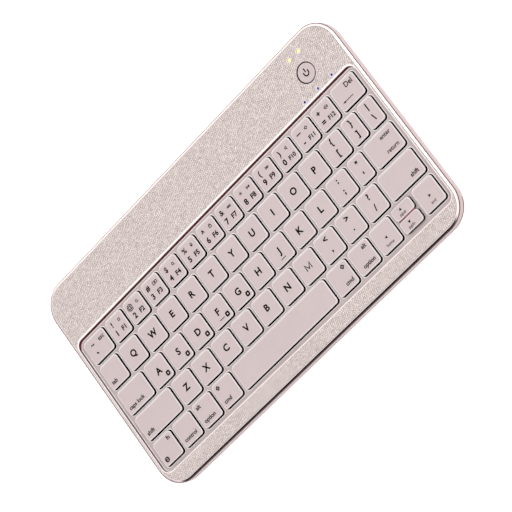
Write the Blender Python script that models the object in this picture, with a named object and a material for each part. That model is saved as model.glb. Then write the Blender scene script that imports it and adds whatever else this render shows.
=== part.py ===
"""Slim wireless keyboard of a ten-inch tablet keyboard case, as an assembly of separate solids.

Metres, +Z up, +X to the typist's right, +Y away from the typist. The origin is the middle of
the footprint, on the surface that the feet stand on.
"""

import bmesh
import bpy

MM = 0.001

# Outline of the slab
SLAB_WIDTH = 246.2 * MM
SLAB_DEPTH = 137.6 * MM
SLAB_CORNER = 16.0 * MM
CORNER_SEGMENTS = 7

# Heights above the surface that the feet stand on
FOOT_TOP = 0.55 * MM
COVER_UNDERSIDE = 0.6 * MM
COVER_FLOOR = 1.6 * MM
COVER_TOP = 5.2 * MM
FRAME_UNDERSIDE = 5.35 * MM
FRAME_TOP = 6.6 * MM
WEB_UNDERSIDE = 4.15 * MM
WEB_TOP = 4.7 * MM
CAP_TOP = 6.45 * MM
CAP_CEILING = 5.45 * MM
FLANGE_TOP = 4.05 * MM
FLANGE_UNDERSIDE = 3.75 * MM
PLATE_UNDERSIDE = 1.65 * MM
PLATE_TOP = 2.05 * MM
MEMBRANE_UNDERSIDE = 2.1 * MM
MEMBRANE_TOP = 2.3 * MM
DOME_SHEET_UNDERSIDE = 2.35 * MM
DOME_SHEET_TOP = 2.5 * MM
DOME_TOP = 5.4 * MM

# Shells
WALL = 1.4 * MM
BOTTOM_ROUNDING = 1.2 * MM
CHAMFER_WIDTH = 1.6 * MM
CHAMFER_HEIGHT = 0.7 * MM
WELL_HALF_WIDTH = 120.15 * MM
WELL_FRONT = -57.9 * MM
WELL_REAR = 35.6 * MM
WELL_CORNER = 5.0 * MM
WELL_SKIRT = 1.2 * MM
SKIRT_GAP = 0.05 * MM

# How far a cutter passes the face it cuts, and how far a joined shape reaches into its target
OVERSHOOT = 1.4 * MM
EMBED = 0.7 * MM

# Key field: five rows, the first one nearest to the tablet
KEY_PITCH = 17.5 * MM
ROW_PITCH = 18.0 * MM
KEY_GAP = 2.3 * MM
NUMBER_WIDTH = 14.075 * MM
NARROW_WIDTH = 11.0 * MM
LEFT_SHIFT_WIDTH = 30.6 * MM
ARROW_WIDTH = 14.2 * MM
ARROW_GAP = 0.9 * MM
KEY_DEPTH = 15.4 * MM
NUMBER_DEPTH = 14.2 * MM
FIELD_WIDTH = 234.3 * MM
FIRST_ROW_FRONT = 17.5 * MM
CAP_CORNER = 1.7 * MM
CAP_SEGMENTS = 2
CAP_WALL = 1.1 * MM
FLANGE_WIDTH = 0.35 * MM
WEB_CLEARANCE = 0.25 * MM
WEB_HOLE_CORNER = 0.9 * MM
BRIDGE_WIDTH = 0.7 * MM
BRIDGE_SINK = 0.05 * MM

# Rubber domes
DOME_FOOT_RADIUS = 2.2 * MM
DOME_TIP_RADIUS = 1.3 * MM
DOME_SIDES = 8

# Power button and indicator lights
BUTTON_X = 96.0 * MM
BUTTON_Y = 48.8 * MM
BUTTON_RADIUS = 5.4 * MM
BUTTON_TOP = 6.5 * MM
BUTTON_GAP = 0.45 * MM
BUTTON_SIDES = 32
BUTTON_FLANGE = (6.6 * MM, 4.75 * MM, 5.25 * MM)
BUTTON_STEM = (1.5 * MM, 4.65 * MM)
CHARGE_LIGHTS_X = (92.25 * MM, 99.75 * MM)
CHARGE_LIGHTS_Y = 60.8 * MM
CHARGE_LIGHT_RADIUS = 0.75 * MM
LOCK_LIGHTS_X = (84.95 * MM, 96.0 * MM, 107.05 * MM)
LOCK_LIGHTS_Y = 37.7 * MM
LOCK_LIGHT_RADIUS = 0.5 * MM
LIGHT_GAP = 0.12 * MM
LIGHT_TOP = 6.55 * MM
LIGHT_BAR_UNDERSIDE = 3.3 * MM
LIGHT_BAR_TOP = 4.1 * MM
LIGHT_BAR_MARGIN = 1.4 * MM
LIGHT_SIDES = 12

# Electronics behind the key field
BOARD_LOW = (78.0 * MM, 37.2 * MM, 1.7 * MM)
BOARD_HIGH = (110.0 * MM, 66.4 * MM, 2.5 * MM)
SWITCH_WIDTH = 4.6 * MM
SWITCH_TOP = 4.15 * MM
LIGHT_CHIP_WIDTH = 1.5 * MM
LIGHT_CHIP_TOP = 3.2 * MM
LOCK_CHIP_OFFSET = 1.4 * MM
TAIL_WIDTH = 17.5 * MM
TAIL_GAP = 0.2 * MM
SOCKET_WIDTH = 7.6 * MM
SOCKET_DEPTH = 6.1 * MM
SOCKET_REAR = 68.6 * MM
SOCKET_UNDERSIDE = 2.55 * MM
SOCKET_TOP = 5.05 * MM
SOCKET_WALL = 0.35 * MM
TONGUE_INSET = 1.4 * MM
SOCKET_GAP = 0.2 * MM
BATTERY_LOW = (-60.0 * MM, 39.5 * MM, 1.7 * MM)
BATTERY_HIGH = (50.0 * MM, 65.0 * MM, 4.7 * MM)
RIB_THICKNESS = 0.8 * MM
RIB_TOP = 3.6 * MM

# Feet
FOOT_LENGTH = 190.0 * MM
FOOT_WIDTH = 5.0 * MM
FOOT_END_RADIUS = 2.45 * MM
FOOT_Y = 56.0 * MM

# Linear base colour, roughness, metallic
ROSE_SKIN = ((0.71, 0.61, 0.59), 0.55, 0.1)
ROSE_SHELL = ((0.68, 0.50, 0.49), 0.35, 0.4)
ROSE_CAP = ((0.65, 0.54, 0.53), 0.5, 0.0)
SILICONE = ((0.80, 0.80, 0.78), 0.7, 0.0)
FILM = ((0.55, 0.60, 0.62), 0.4, 0.0)
STEEL = ((0.55, 0.55, 0.57), 0.35, 1.0)
SOLDER_MASK = ((0.02, 0.16, 0.07), 0.4, 0.0)
POUCH = ((0.30, 0.31, 0.33), 0.35, 0.6)
RUBBER = ((0.60, 0.50, 0.49), 0.85, 0.0)
AMBER = ((0.85, 0.70, 0.25), 0.2, 0.0)
BLUE = ((0.06, 0.05, 0.45), 0.2, 0.0)

UNIT_WIDTH = KEY_PITCH - KEY_GAP


def clear_scene():
    """Remove what the startup scene holds."""
    for thing in list(bpy.data.objects):
        bpy.data.objects.remove(thing, do_unlink=True)


def new_collection(name, parent=None):
    made = bpy.data.collections.new(name)
    (parent or bpy.context.scene.collection).children.link(made)
    return made


clear_scene()
PARTS = new_collection("tablet_keyboard")
HELPERS = new_collection("helpers")


def move(shape, offset, verts=None):
    bmesh.ops.translate(shape, vec=offset, verts=verts or shape.verts)


def upright_edges(shape):
    """The edges that stand along Z."""
    return [e for e in shape.edges if abs(e.verts[0].co.z - e.verts[1].co.z) > 1e-6]


def facing(shape, direction):
    """The flat face that lies furthest up (1) or down (-1)."""
    return max(shape.faces, key=lambda face: direction * face.calc_center_median().z)


def block_shape(size, corner=0.0, segments=1):
    """A box around the origin, its upright edges rounded."""
    shape = bmesh.new()
    bmesh.ops.create_cube(shape, size=1.0)
    bmesh.ops.scale(shape, vec=size, verts=shape.verts)
    if corner:
        bmesh.ops.bevel(
            shape, geom=upright_edges(shape), offset=corner, segments=segments,
            profile=0.5, affect="EDGES",
        )
    return shape


def raise_face(shape, face, height):
    """Extrude one face along Z and return the face at its new place."""
    made = bmesh.ops.extrude_discrete_faces(shape, faces=[face])["faces"][0]
    move(shape, (0, 0, height), list(made.verts))
    return made


def narrow_face(shape, face, by):
    """Inset one face and return its inner part."""
    bmesh.ops.inset_region(shape, faces=[face], thickness=by, use_even_offset=True)
    return face


def new_object(name, shape, location, collection):
    mesh = bpy.data.meshes.new(name)
    shape.to_mesh(mesh)
    shape.free()
    made = bpy.data.objects.new(name, mesh)
    made.location = location
    collection.objects.link(made)
    return made


def part(name, shape, location, finish):
    """A visible piece with a material of its own. finish is colour, roughness, metallic."""
    made = new_object(name, shape, location, PARTS)
    colour, roughness, metallic = finish
    material = bpy.data.materials.new(name + "_finish")
    material.use_nodes = True
    material.diffuse_color = (*colour, 1.0)
    shader = material.node_tree.nodes["Principled BSDF"]
    shader.inputs["Base Color"].default_value = (*colour, 1.0)
    shader.inputs["Roughness"].default_value = roughness
    shader.inputs["Metallic"].default_value = metallic
    made.data.materials.append(material)
    return made


def helper_collection(name):
    """A collection of cutters or of shapes to join, which is left out of the assembly."""
    made = new_collection(name, HELPERS)
    made.hide_render = True
    return made


def helper(name, shape, location, collection):
    made = new_object(name, shape, location, collection)
    made.hide_render = True
    made.display_type = "WIRE"
    return made


def combine(target, operation, collection):
    """Cut every helper in the collection from the target, or join it on."""
    modifier = target.modifiers.new(operation.title() + " " + collection.name, "BOOLEAN")
    modifier.operation = operation
    modifier.solver = "EXACT"
    modifier.operand_type = "COLLECTION"
    modifier.collection = collection


def between(low, high):
    """The size and the centre of a box given by two corners."""
    size = tuple(h - l for l, h in zip(low, high))
    centre = tuple((h + l) / 2 for l, h in zip(low, high))
    return size, centre


def box(low, high, corner=0.0, segments=1):
    size, centre = between(low, high)
    return block_shape(size, corner, segments), centre


def cylinder_shape(radius, height, sides, tip_radius=None):
    shape = bmesh.new()
    tip_radius = radius if tip_radius is None else tip_radius
    bmesh.ops.create_cone(
        shape, cap_ends=True, segments=sides, radius1=radius, radius2=tip_radius, depth=height,
    )
    return shape


def key_rows():
    """Every key as name, left edge, width, front edge and depth, row by row."""
    unit = UNIT_WIDTH
    gaps = KEY_GAP
    shared = {
        "number_end": (FIELD_WIDTH - 12 * NUMBER_WIDTH - 13 * gaps) / 2,
        "caps": (FIELD_WIDTH - 10 * unit - NARROW_WIDTH - 12 * gaps) / 2,
        "right_shift": FIELD_WIDTH - LEFT_SHIFT_WIDTH - 10 * unit - 11 * gaps,
        "space": FIELD_WIDTH - 8 * unit - ARROW_WIDTH - 9 * gaps,
    }
    numbers = "one two three four five six seven eight nine zero minus equals".split()
    rows = [
        [("esc", shared["number_end"])]
        + [(name, NUMBER_WIDTH) for name in numbers]
        + [("delete", shared["number_end"])],
        [("tab", unit)]
        + [(letter, unit) for letter in "qwertyuiop"]
        + [("left_bracket", unit), ("right_bracket", NARROW_WIDTH), ("backslash", NARROW_WIDTH)],
        [("caps_lock", shared["caps"])]
        + [(letter, unit) for letter in "asdfghjkl"]
        + [("semicolon", unit), ("quote", NARROW_WIDTH), ("enter", shared["caps"])],
        [("left_shift", LEFT_SHIFT_WIDTH)]
        + [(letter, unit) for letter in "zxcvbnm"]
        + [("comma", unit), ("period", unit), ("slash", unit)]
        + [("right_shift", shared["right_shift"])],
        [(name, unit) for name in ("fn", "control", "left_option", "left_command")]
        + [("space", shared["space"])]
        + [(name, unit) for name in ("right_command", "right_option", "left_arrow")]
        + [("up_down", ARROW_WIDTH), ("right_arrow", unit)],
    ]
    for number, row in enumerate(rows):
        left = -FIELD_WIDTH / 2
        front = FIRST_ROW_FRONT - number * ROW_PITCH
        depth = KEY_DEPTH if number else NUMBER_DEPTH
        for name, width in row:
            if name == "up_down":
                half = (depth - ARROW_GAP) / 2
                yield "down_arrow", left, width, front, half
                yield "up_arrow", left, width, front + half + ARROW_GAP, half
            else:
                yield name, left, width, front, depth
            left += width + KEY_GAP


KEYS = {name: place for name, *place in key_rows()}
NUMBER_KEYS = "one two three four five six seven eight nine zero minus equals".split()
PUNCTUATION_ROWS = [
    ("left_bracket", "right_bracket", "backslash"),
    ("semicolon", "quote"),
    ("comma", "period", "slash"),
]
PUNCTUATION_KEYS = [name for row in PUNCTUATION_ROWS for name in row]


def key_centre(name):
    left, width, front, depth = KEYS[name]
    return left + width / 2, front + depth / 2, CAP_TOP


def cap_shape(name):
    """A hollow cap, its top face at z = 0, with a flange at its foot that the web holds down."""
    _, width, _, depth = KEYS[name]
    foot = (width + 2 * FLANGE_WIDTH, depth + 2 * FLANGE_WIDTH, FLANGE_TOP - FLANGE_UNDERSIDE)
    shape = block_shape(foot, CAP_CORNER + FLANGE_WIDTH, CAP_SEGMENTS)
    move(shape, (0, 0, (FLANGE_TOP + FLANGE_UNDERSIDE) / 2 - CAP_TOP))
    crown = narrow_face(shape, facing(shape, 1), FLANGE_WIDTH)
    raise_face(shape, crown, CAP_TOP - FLANGE_TOP)
    hollow = narrow_face(shape, facing(shape, -1), FLANGE_WIDTH + CAP_WALL)
    raise_face(shape, hollow, CAP_CEILING - FLANGE_UNDERSIDE)
    return shape


def bridge(name, low_xy, high_xy, collection):
    """A strip inside the flanges' thickness that ties two caps of a bank together."""
    low = (*low_xy, FLANGE_UNDERSIDE + BRIDGE_SINK)
    high = (*high_xy, FLANGE_TOP - BRIDGE_SINK)
    helper(name, *box(low, high), collection)


def row_bridge(name, first, last, collection):
    """A strip along the rear flanges, from one cap's middle to another's."""
    x0, y0, _ = key_centre(first)
    x1 = key_centre(last)[0]
    rear = y0 + KEYS[first][3] / 2 - CAP_WALL / 2
    bridge(name, (x0, rear - BRIDGE_WIDTH / 2), (x1, rear + BRIDGE_WIDTH / 2), collection)


def cross_bridge(name, behind, ahead, x, collection):
    """A strip at x from the front flange of one cap to the rear flange of the cap before it."""
    y1 = KEYS[behind][2] + CAP_WALL / 2
    y0 = KEYS[ahead][2] + KEYS[ahead][3] - CAP_WALL / 2
    bridge(name, (x - BRIDGE_WIDTH, y0), (x + BRIDGE_WIDTH, y1), collection)


def make_keys():
    banked = set(NUMBER_KEYS + PUNCTUATION_KEYS)
    for name in KEYS:
        if name not in banked:
            part(name + "_key", cap_shape(name), key_centre(name), ROSE_CAP)


def make_bank(node, names):
    """Several caps tied together as one body. The first one is the target of the union."""
    target = part(node, cap_shape(names[0]), key_centre(names[0]), ROSE_CAP)
    others = helper_collection(node + "_caps")
    for name in names[1:]:
        helper(name + "_cap", cap_shape(name), key_centre(name), others)
    ties = helper_collection(node + "_ties")
    combine(target, "UNION", ties)
    combine(target, "UNION", others)
    return ties


def make_number_bank():
    ties = make_bank("number_keys", NUMBER_KEYS)
    row_bridge("number_tie", NUMBER_KEYS[0], NUMBER_KEYS[-1], ties)


def make_punctuation_bank():
    ties = make_bank("punctuation_keys", PUNCTUATION_KEYS)
    for row in PUNCTUATION_ROWS:
        row_bridge(row[0] + "_tie", row[0], row[-1], ties)
    quote_x = key_centre("quote")[0]
    bracket_right = KEYS["left_bracket"][0] + KEYS["left_bracket"][1]
    period_right = KEYS["period"][0] + KEYS["period"][1]
    semicolon_left = KEYS["semicolon"][0]
    cross_bridge("bracket_quote_tie", "left_bracket", "quote",
                 min(quote_x, bracket_right - 2 * CAP_CORNER), ties)
    cross_bridge("semicolon_period_tie", "semicolon", "period",
                 (period_right + semicolon_left) / 2, ties)


def slab_shape(low, high, inset=0.0):
    """The slab's rounded outline, drawn in by inset, between two heights."""
    size = (SLAB_WIDTH - 2 * inset, SLAB_DEPTH - 2 * inset, high - low)
    return block_shape(size, SLAB_CORNER - inset, CORNER_SEGMENTS)


def well_box(low, high, outset=0.0):
    """The key well's rounded outline, widened by outset, between two heights."""
    return box(
        (-WELL_HALF_WIDTH - outset, WELL_FRONT - outset, low),
        (WELL_HALF_WIDTH + outset, WELL_REAR + outset, high),
        WELL_CORNER + outset,
        4,
    )


def make_bottom_cover():
    """The lower tray: rounded along its bottom edge, notched for the charge socket."""
    shape = slab_shape(COVER_UNDERSIDE, COVER_TOP)
    floor_edges = list(facing(shape, -1).edges)
    bmesh.ops.bevel(shape, geom=floor_edges, offset=BOTTOM_ROUNDING, segments=2,
                    profile=0.5, affect="EDGES")
    middle = (0, 0, (COVER_UNDERSIDE + COVER_TOP) / 2)
    cover = part("bottom_cover", shape, middle, ROSE_SHELL)
    cuts = helper_collection("bottom_cover_cuts")
    above = COVER_TOP + OVERSHOOT
    helper("cover_cavity", slab_shape(COVER_FLOOR, above, WALL),
           (0, 0, (COVER_FLOOR + above) / 2), cuts)
    notch_half = SOCKET_WIDTH / 2 + SOCKET_GAP
    notch = box(
        (BUTTON_X - notch_half, SLAB_DEPTH / 2 - WALL - OVERSHOOT, SOCKET_UNDERSIDE - SOCKET_GAP),
        (BUTTON_X + notch_half, SLAB_DEPTH / 2 + OVERSHOOT, above),
    )
    helper("socket_notch", *notch, cuts)
    combine(cover, "DIFFERENCE", cuts)
    ribs = helper_collection("bottom_cover_ribs")
    for side, x in (("left", BATTERY_LOW[0] - 1.5 * RIB_THICKNESS),
                    ("right", BATTERY_HIGH[0] + 0.5 * RIB_THICKNESS)):
        low = (x, BATTERY_LOW[1], COVER_FLOOR - EMBED)
        high = (x + RIB_THICKNESS, BATTERY_HIGH[1], RIB_TOP)
        helper(side + "_battery_rib", *box(low, high), ribs)
    combine(cover, "UNION", ribs)


def hole(name, x, y, radius, sides, collection):
    height = FRAME_TOP - FRAME_UNDERSIDE + 2 * OVERSHOOT
    helper(name, cylinder_shape(radius, height, sides),
           (x, y, (FRAME_TOP + FRAME_UNDERSIDE) / 2), collection)


def make_top_frame():
    """The upper shell: a chamfered plate, a skirt around the key well, and its small holes."""
    shape = slab_shape(FRAME_UNDERSIDE, FRAME_TOP - CHAMFER_HEIGHT)
    crown = narrow_face(shape, facing(shape, 1), CHAMFER_WIDTH)
    move(shape, (0, 0, CHAMFER_HEIGHT), list(crown.verts))
    middle = (FRAME_UNDERSIDE + FRAME_TOP - CHAMFER_HEIGHT) / 2
    frame = part("top_frame", shape, (0, 0, middle), ROSE_SKIN)
    skirt = helper_collection("top_frame_skirt")
    helper("well_skirt", *well_box(WEB_TOP + SKIRT_GAP, FRAME_UNDERSIDE + EMBED, WELL_SKIRT),
           skirt)
    combine(frame, "UNION", skirt)
    cuts = helper_collection("top_frame_cuts")
    helper("well_cut", *well_box(WEB_UNDERSIDE, FRAME_TOP + OVERSHOOT), cuts)
    hole("button_hole", BUTTON_X, BUTTON_Y, BUTTON_RADIUS + BUTTON_GAP, BUTTON_SIDES, cuts)
    for x in CHARGE_LIGHTS_X:
        hole("charge_hole", x, CHARGE_LIGHTS_Y, CHARGE_LIGHT_RADIUS + LIGHT_GAP, LIGHT_SIDES, cuts)
    for x in LOCK_LIGHTS_X:
        hole("lock_hole", x, LOCK_LIGHTS_Y, LOCK_LIGHT_RADIUS + LIGHT_GAP, LIGHT_SIDES, cuts)
    combine(frame, "DIFFERENCE", cuts)


def make_key_web():
    """The flat grille between the keys, with one window for each cap."""
    web = part("key_web", *well_box(WEB_UNDERSIDE, WEB_TOP, WELL_SKIRT), ROSE_SKIN)
    windows = helper_collection("key_web_windows")
    for name, (left, width, front, depth) in KEYS.items():
        low = (left - WEB_CLEARANCE, front - WEB_CLEARANCE, WEB_UNDERSIDE - OVERSHOOT)
        high = (left + width + WEB_CLEARANCE, front + depth + WEB_CLEARANCE, WEB_TOP + OVERSHOOT)
        helper(name + "_window", *box(low, high, WEB_HOLE_CORNER), windows)
    combine(web, "DIFFERENCE", windows)


def make_dome_sheet():
    """One moulded sheet with a rubber dome under each cap."""
    sheet = part("dome_sheet", *well_box(DOME_SHEET_UNDERSIDE, DOME_SHEET_TOP), SILICONE)
    domes = helper_collection("dome_sheet_domes")
    foot = (DOME_SHEET_UNDERSIDE + DOME_SHEET_TOP) / 2
    for name in KEYS:
        x, y, _ = key_centre(name)
        dome = cylinder_shape(DOME_FOOT_RADIUS, DOME_TOP - foot, DOME_SIDES, DOME_TIP_RADIUS)
        helper(name + "_dome", dome, (x, y, (DOME_TOP + foot) / 2), domes)
    combine(sheet, "UNION", domes)


def make_membrane():
    """The printed contact film, with the tail that runs to the circuit board."""
    membrane = part("membrane_sheet", *well_box(MEMBRANE_UNDERSIDE, MEMBRANE_TOP), FILM)
    tails = helper_collection("membrane_tail")
    middle = (BOARD_LOW[0] + BOARD_HIGH[0]) / 2
    low = (middle - TAIL_WIDTH / 2, WELL_REAR - EMBED, MEMBRANE_UNDERSIDE + BRIDGE_SINK)
    high = (middle + TAIL_WIDTH / 2, BOARD_LOW[1] - TAIL_GAP, MEMBRANE_TOP - BRIDGE_SINK)
    helper("tail", *box(low, high), tails)
    combine(membrane, "UNION", tails)


def make_circuit_board():
    """The controller board with the power switch and a light chip under every window."""
    board = part("circuit_board", *box(BOARD_LOW, BOARD_HIGH), SOLDER_MASK)
    parts = helper_collection("circuit_board_parts")
    base = (BOARD_LOW[2] + BOARD_HIGH[2]) / 2
    switch_half = SWITCH_WIDTH / 2
    helper("power_switch", *box((BUTTON_X - switch_half, BUTTON_Y - switch_half, base),
                                (BUTTON_X + switch_half, BUTTON_Y + switch_half, SWITCH_TOP)),
           parts)
    chips = [(x, CHARGE_LIGHTS_Y) for x in CHARGE_LIGHTS_X]
    chips += [(x, LOCK_LIGHTS_Y + LOCK_CHIP_OFFSET) for x in LOCK_LIGHTS_X]
    half = LIGHT_CHIP_WIDTH / 2
    for number, (x, y) in enumerate(chips):
        helper(f"light_chip_{number}", *box((x - half, y - half, base),
                                            (x + half, y + half, LIGHT_CHIP_TOP)), parts)
    combine(board, "UNION", parts)


def make_light_guide(node, xs, y, radius, bar_y, finish):
    """A clear bar with one pin for each indicator, its tips just below the frame's face."""
    low = (xs[0] - LIGHT_BAR_MARGIN, bar_y[0], LIGHT_BAR_UNDERSIDE)
    high = (xs[-1] + LIGHT_BAR_MARGIN, bar_y[1], LIGHT_BAR_TOP)
    guide = part(node, *box(low, high), finish)
    pins = helper_collection(node + "_pins")
    foot = (LIGHT_BAR_UNDERSIDE + LIGHT_BAR_TOP) / 2
    for x in xs:
        helper(node + "_pin", cylinder_shape(radius, LIGHT_TOP - foot, LIGHT_SIDES),
               (x, y, (LIGHT_TOP + foot) / 2), pins)
    combine(guide, "UNION", pins)


def make_power_button():
    """A round button with a wide foot under the frame and a stem over its switch."""
    foot_radius, foot_low, foot_high = BUTTON_FLANGE
    stem_radius, stem_low = BUTTON_STEM
    shape = cylinder_shape(foot_radius, foot_high - foot_low, BUTTON_SIDES)
    button = part("power_button", shape, (BUTTON_X, BUTTON_Y, (foot_high + foot_low) / 2),
                  ROSE_CAP)
    middle = (foot_high + foot_low) / 2
    joined = helper_collection("power_button_parts")
    helper("button_head", cylinder_shape(BUTTON_RADIUS, BUTTON_TOP - middle, BUTTON_SIDES),
           (BUTTON_X, BUTTON_Y, (BUTTON_TOP + middle) / 2), joined)
    combine(button, "UNION", joined)
    stem = helper_collection("power_button_stem")
    helper("button_stem", cylinder_shape(stem_radius, middle - stem_low, LIGHT_SIDES),
           (BUTTON_X, BUTTON_Y, (middle + stem_low) / 2), stem)
    combine(button, "UNION", stem)


def make_charge_socket():
    """A pressed metal socket, open at the rear, with a contact tongue inside."""
    half = SOCKET_WIDTH / 2
    front = SOCKET_REAR - SOCKET_DEPTH
    socket = part("charge_socket", *box((BUTTON_X - half, front, SOCKET_UNDERSIDE),
                                        (BUTTON_X + half, SOCKET_REAR, SOCKET_TOP)), STEEL)
    mouth = helper_collection("charge_socket_mouth")
    inner = half - SOCKET_WALL
    helper("socket_mouth", *box(
        (BUTTON_X - inner, front + 3 * SOCKET_WALL, SOCKET_UNDERSIDE + SOCKET_WALL),
        (BUTTON_X + inner, SOCKET_REAR + OVERSHOOT, SOCKET_TOP - SOCKET_WALL)), mouth)
    combine(socket, "DIFFERENCE", mouth)
    tongue = helper_collection("charge_socket_tongue")
    helper("socket_tongue", *box(
        (BUTTON_X - inner / 2, front + SOCKET_WALL, SOCKET_TOP - 4 * SOCKET_WALL),
        (BUTTON_X + inner / 2, SOCKET_REAR - TONGUE_INSET, SOCKET_TOP - 2 * SOCKET_WALL)), tongue)
    combine(socket, "UNION", tongue)


def make_feet():
    for side, y in (("front", -FOOT_Y), ("rear", FOOT_Y)):
        low = (-FOOT_LENGTH / 2, y - FOOT_WIDTH / 2, 0)
        high = (FOOT_LENGTH / 2, y + FOOT_WIDTH / 2, FOOT_TOP)
        part(side + "_foot_strip", *box(low, high, FOOT_END_RADIUS, 4), RUBBER)


make_bottom_cover()
make_top_frame()
make_key_web()
make_dome_sheet()
make_membrane()
part("support_plate", *well_box(PLATE_UNDERSIDE, PLATE_TOP), STEEL)
make_circuit_board()
part("battery", *box(BATTERY_LOW, BATTERY_HIGH), POUCH)
make_light_guide("charge_light_guide", CHARGE_LIGHTS_X, CHARGE_LIGHTS_Y, CHARGE_LIGHT_RADIUS,
                 (CHARGE_LIGHTS_Y - LIGHT_BAR_MARGIN, CHARGE_LIGHTS_Y + LIGHT_BAR_MARGIN), AMBER)
make_light_guide("lock_light_guide", LOCK_LIGHTS_X, LOCK_LIGHTS_Y, LOCK_LIGHT_RADIUS,
                 (LOCK_LIGHTS_Y - LOCK_LIGHT_RADIUS, LOCK_LIGHTS_Y + 2 * LOCK_CHIP_OFFSET), BLUE)
make_power_button()
make_charge_socket()
make_feet()
make_keys()
make_number_bank()
make_punctuation_bank()
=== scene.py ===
"""Finished surfaces for the slim tablet keyboard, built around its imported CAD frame.

Metres, in the frame of the CAD model: +X to the typist's right, +Y away from the typist, +Z up.
"""

import math

import bmesh
import bpy
import numpy as np
from mathutils import Matrix, Vector
from mathutils.geometry import delaunay_2d_cdt


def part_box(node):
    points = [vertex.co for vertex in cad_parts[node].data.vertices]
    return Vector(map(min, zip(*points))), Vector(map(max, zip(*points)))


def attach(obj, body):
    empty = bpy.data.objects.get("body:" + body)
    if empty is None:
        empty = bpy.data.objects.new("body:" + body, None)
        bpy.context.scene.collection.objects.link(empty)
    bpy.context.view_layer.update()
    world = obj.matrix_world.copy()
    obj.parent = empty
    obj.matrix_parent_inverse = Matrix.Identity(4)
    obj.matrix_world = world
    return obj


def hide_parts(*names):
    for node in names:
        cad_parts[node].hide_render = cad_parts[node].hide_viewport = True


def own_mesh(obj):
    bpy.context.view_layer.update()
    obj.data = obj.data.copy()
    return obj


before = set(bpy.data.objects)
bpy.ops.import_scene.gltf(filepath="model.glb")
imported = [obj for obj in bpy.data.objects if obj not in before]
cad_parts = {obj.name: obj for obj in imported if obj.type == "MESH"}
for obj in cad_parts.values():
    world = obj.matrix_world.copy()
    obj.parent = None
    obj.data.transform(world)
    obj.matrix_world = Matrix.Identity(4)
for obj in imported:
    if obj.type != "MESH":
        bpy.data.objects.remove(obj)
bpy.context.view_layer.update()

MM = 0.001

# ---------------- heights and outlines

def plan(low, high):
    """Centre and half size, seen from above, of the box between two corners."""
    return ((low.x + high.x) / 2, (low.y + high.y) / 2), ((high.x - low.x) / 2, (high.y - low.y) / 2)


FRAME_LOW, FRAME_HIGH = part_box("top_frame")
COVER_LOW, COVER_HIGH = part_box("bottom_cover")
WEB_LOW, WEB_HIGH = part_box("key_web")
CAP_LOW, CAP_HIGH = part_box("a_key")
DOME_LOW, DOME_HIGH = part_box("dome_sheet")
BUTTON_LOW, BUTTON_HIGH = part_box("power_button")
SOCKET_LOW, SOCKET_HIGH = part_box("charge_socket")

SLAB_HALF = plan(FRAME_LOW, FRAME_HIGH)[1]
SLAB_CORNER = 16.0 * MM
SLAB_OUTLINE = ((0, 0), SLAB_HALF, SLAB_CORNER)
CORNER_STEPS = 16
PARTING_Z = COVER_HIGH.z + 0.15 * MM

CHAMFER_WIDTH = 1.6 * MM
CHAMFER_HEIGHT = 0.7 * MM
LIP_WIDTH = 0.4 * MM
GROOVE_WIDTH = 0.3 * MM
GROOVE_DEPTH = 0.1 * MM
EDGE_LINE = 0.48 * MM
WALL = 1.4 * MM

WELL_SKIRT = 1.2 * MM
WELL_CORNER = 5.0 * MM
WELL_LIP = 0.45 * MM
WELL_LIP_DROP = 0.12 * MM
WELL_REAR_OVERHANG = 0.7 * MM
WELL_REAR_SLOPE = 0.75 * MM
WELL_LEDGE = 0.6 * MM
WELL_CENTRE, WEB_HALF = plan(WEB_LOW, WEB_HIGH)
WELL_HALF = (WEB_HALF[0] - WELL_SKIRT, WEB_HALF[1] - WELL_SKIRT)
WELL_OUTLINE = (WELL_CENTRE, WELL_HALF, WELL_CORNER)

BUTTON_CENTRE, BUTTON_HALF = plan(BUTTON_LOW, BUTTON_HIGH)
BUTTON_RADIUS = 5.4 * MM
BUTTON_GAP = 0.55 * MM
BUTTON_FLANGE = 0.5 * MM
BUTTON_STEM_RADIUS = 1.5 * MM
BUTTON_DISH = 0.05 * MM
BUTTON_RIM = 0.06 * MM
RIM_DROP = 0.06 * MM

LIGHT_GAP = 0.06 * MM
LIGHT_BAR_HEIGHT = 0.8 * MM
LIGHT_MARGIN = 1.4 * MM
CHARGE_LIGHT_RADIUS = 1.05 * MM
LOCK_LIGHT_RADIUS = 0.72 * MM
LIGHT_RIM = 0.3 * MM
LOCK_LIGHT_SETBACK = 0.5 * MM
LENS_FLATTENING = 0.35

# Grain of the top face
GRAIN_SPACING = 0.3 * MM
GRAIN_LENGTH = 1.15 * MM
GRAIN_WIDTH = 0.85 * MM
GRAIN_TURN = math.radians(-20)
GRAIN_DEPTH = 0.09 * MM
GRAIN_FADE = 0.5 * MM
GRAIN_SEED = 7
CREASE_WIDTH = 0.3
PEBBLE_RISE = 0.25
GRAIN_TONE_AND_LIGHT = "grain_tone_and_light"
PLAIN_TONE = 0.5
# Pebbles are painted lighter as highlight and creases darker as shade; OWN_TONE is each pebble's own random
# tone.
PEBBLE_HIGHLIGHT, OWN_TONE, CREASE_SHADE = 0.35, 0.1, 0.85

# Keycaps
FLANGE = 0.35 * MM
FLANGE_THICKNESS = 0.3 * MM
CAP_CORNER = 1.8 * MM
CAP_CORNER_STEPS = 8
CAP_EDGE = 0.34 * MM
CAP_WALL = 1.1 * MM
CAP_ROOF = 1.0 * MM
DISH_DEPTH = 0.09 * MM
KEY_GAP = 2.3 * MM
WINDOW_GAP = (0.3 * MM, 0.5 * MM)
WINDOW_HIGHLIGHT = 0.55 * MM
SLIM_WINDOW_GAP = (0.18 * MM, 0.2 * MM)
SLIM_WINDOW_HIGHLIGHT = 0.1 * MM
CAP_HIGHLIGHT_WIDTH = 0.62 * MM
RIB_WIDTH = 0.36 * MM

INK_PROUD = 0.02 * MM
INK_SINK = 0.12 * MM

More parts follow.
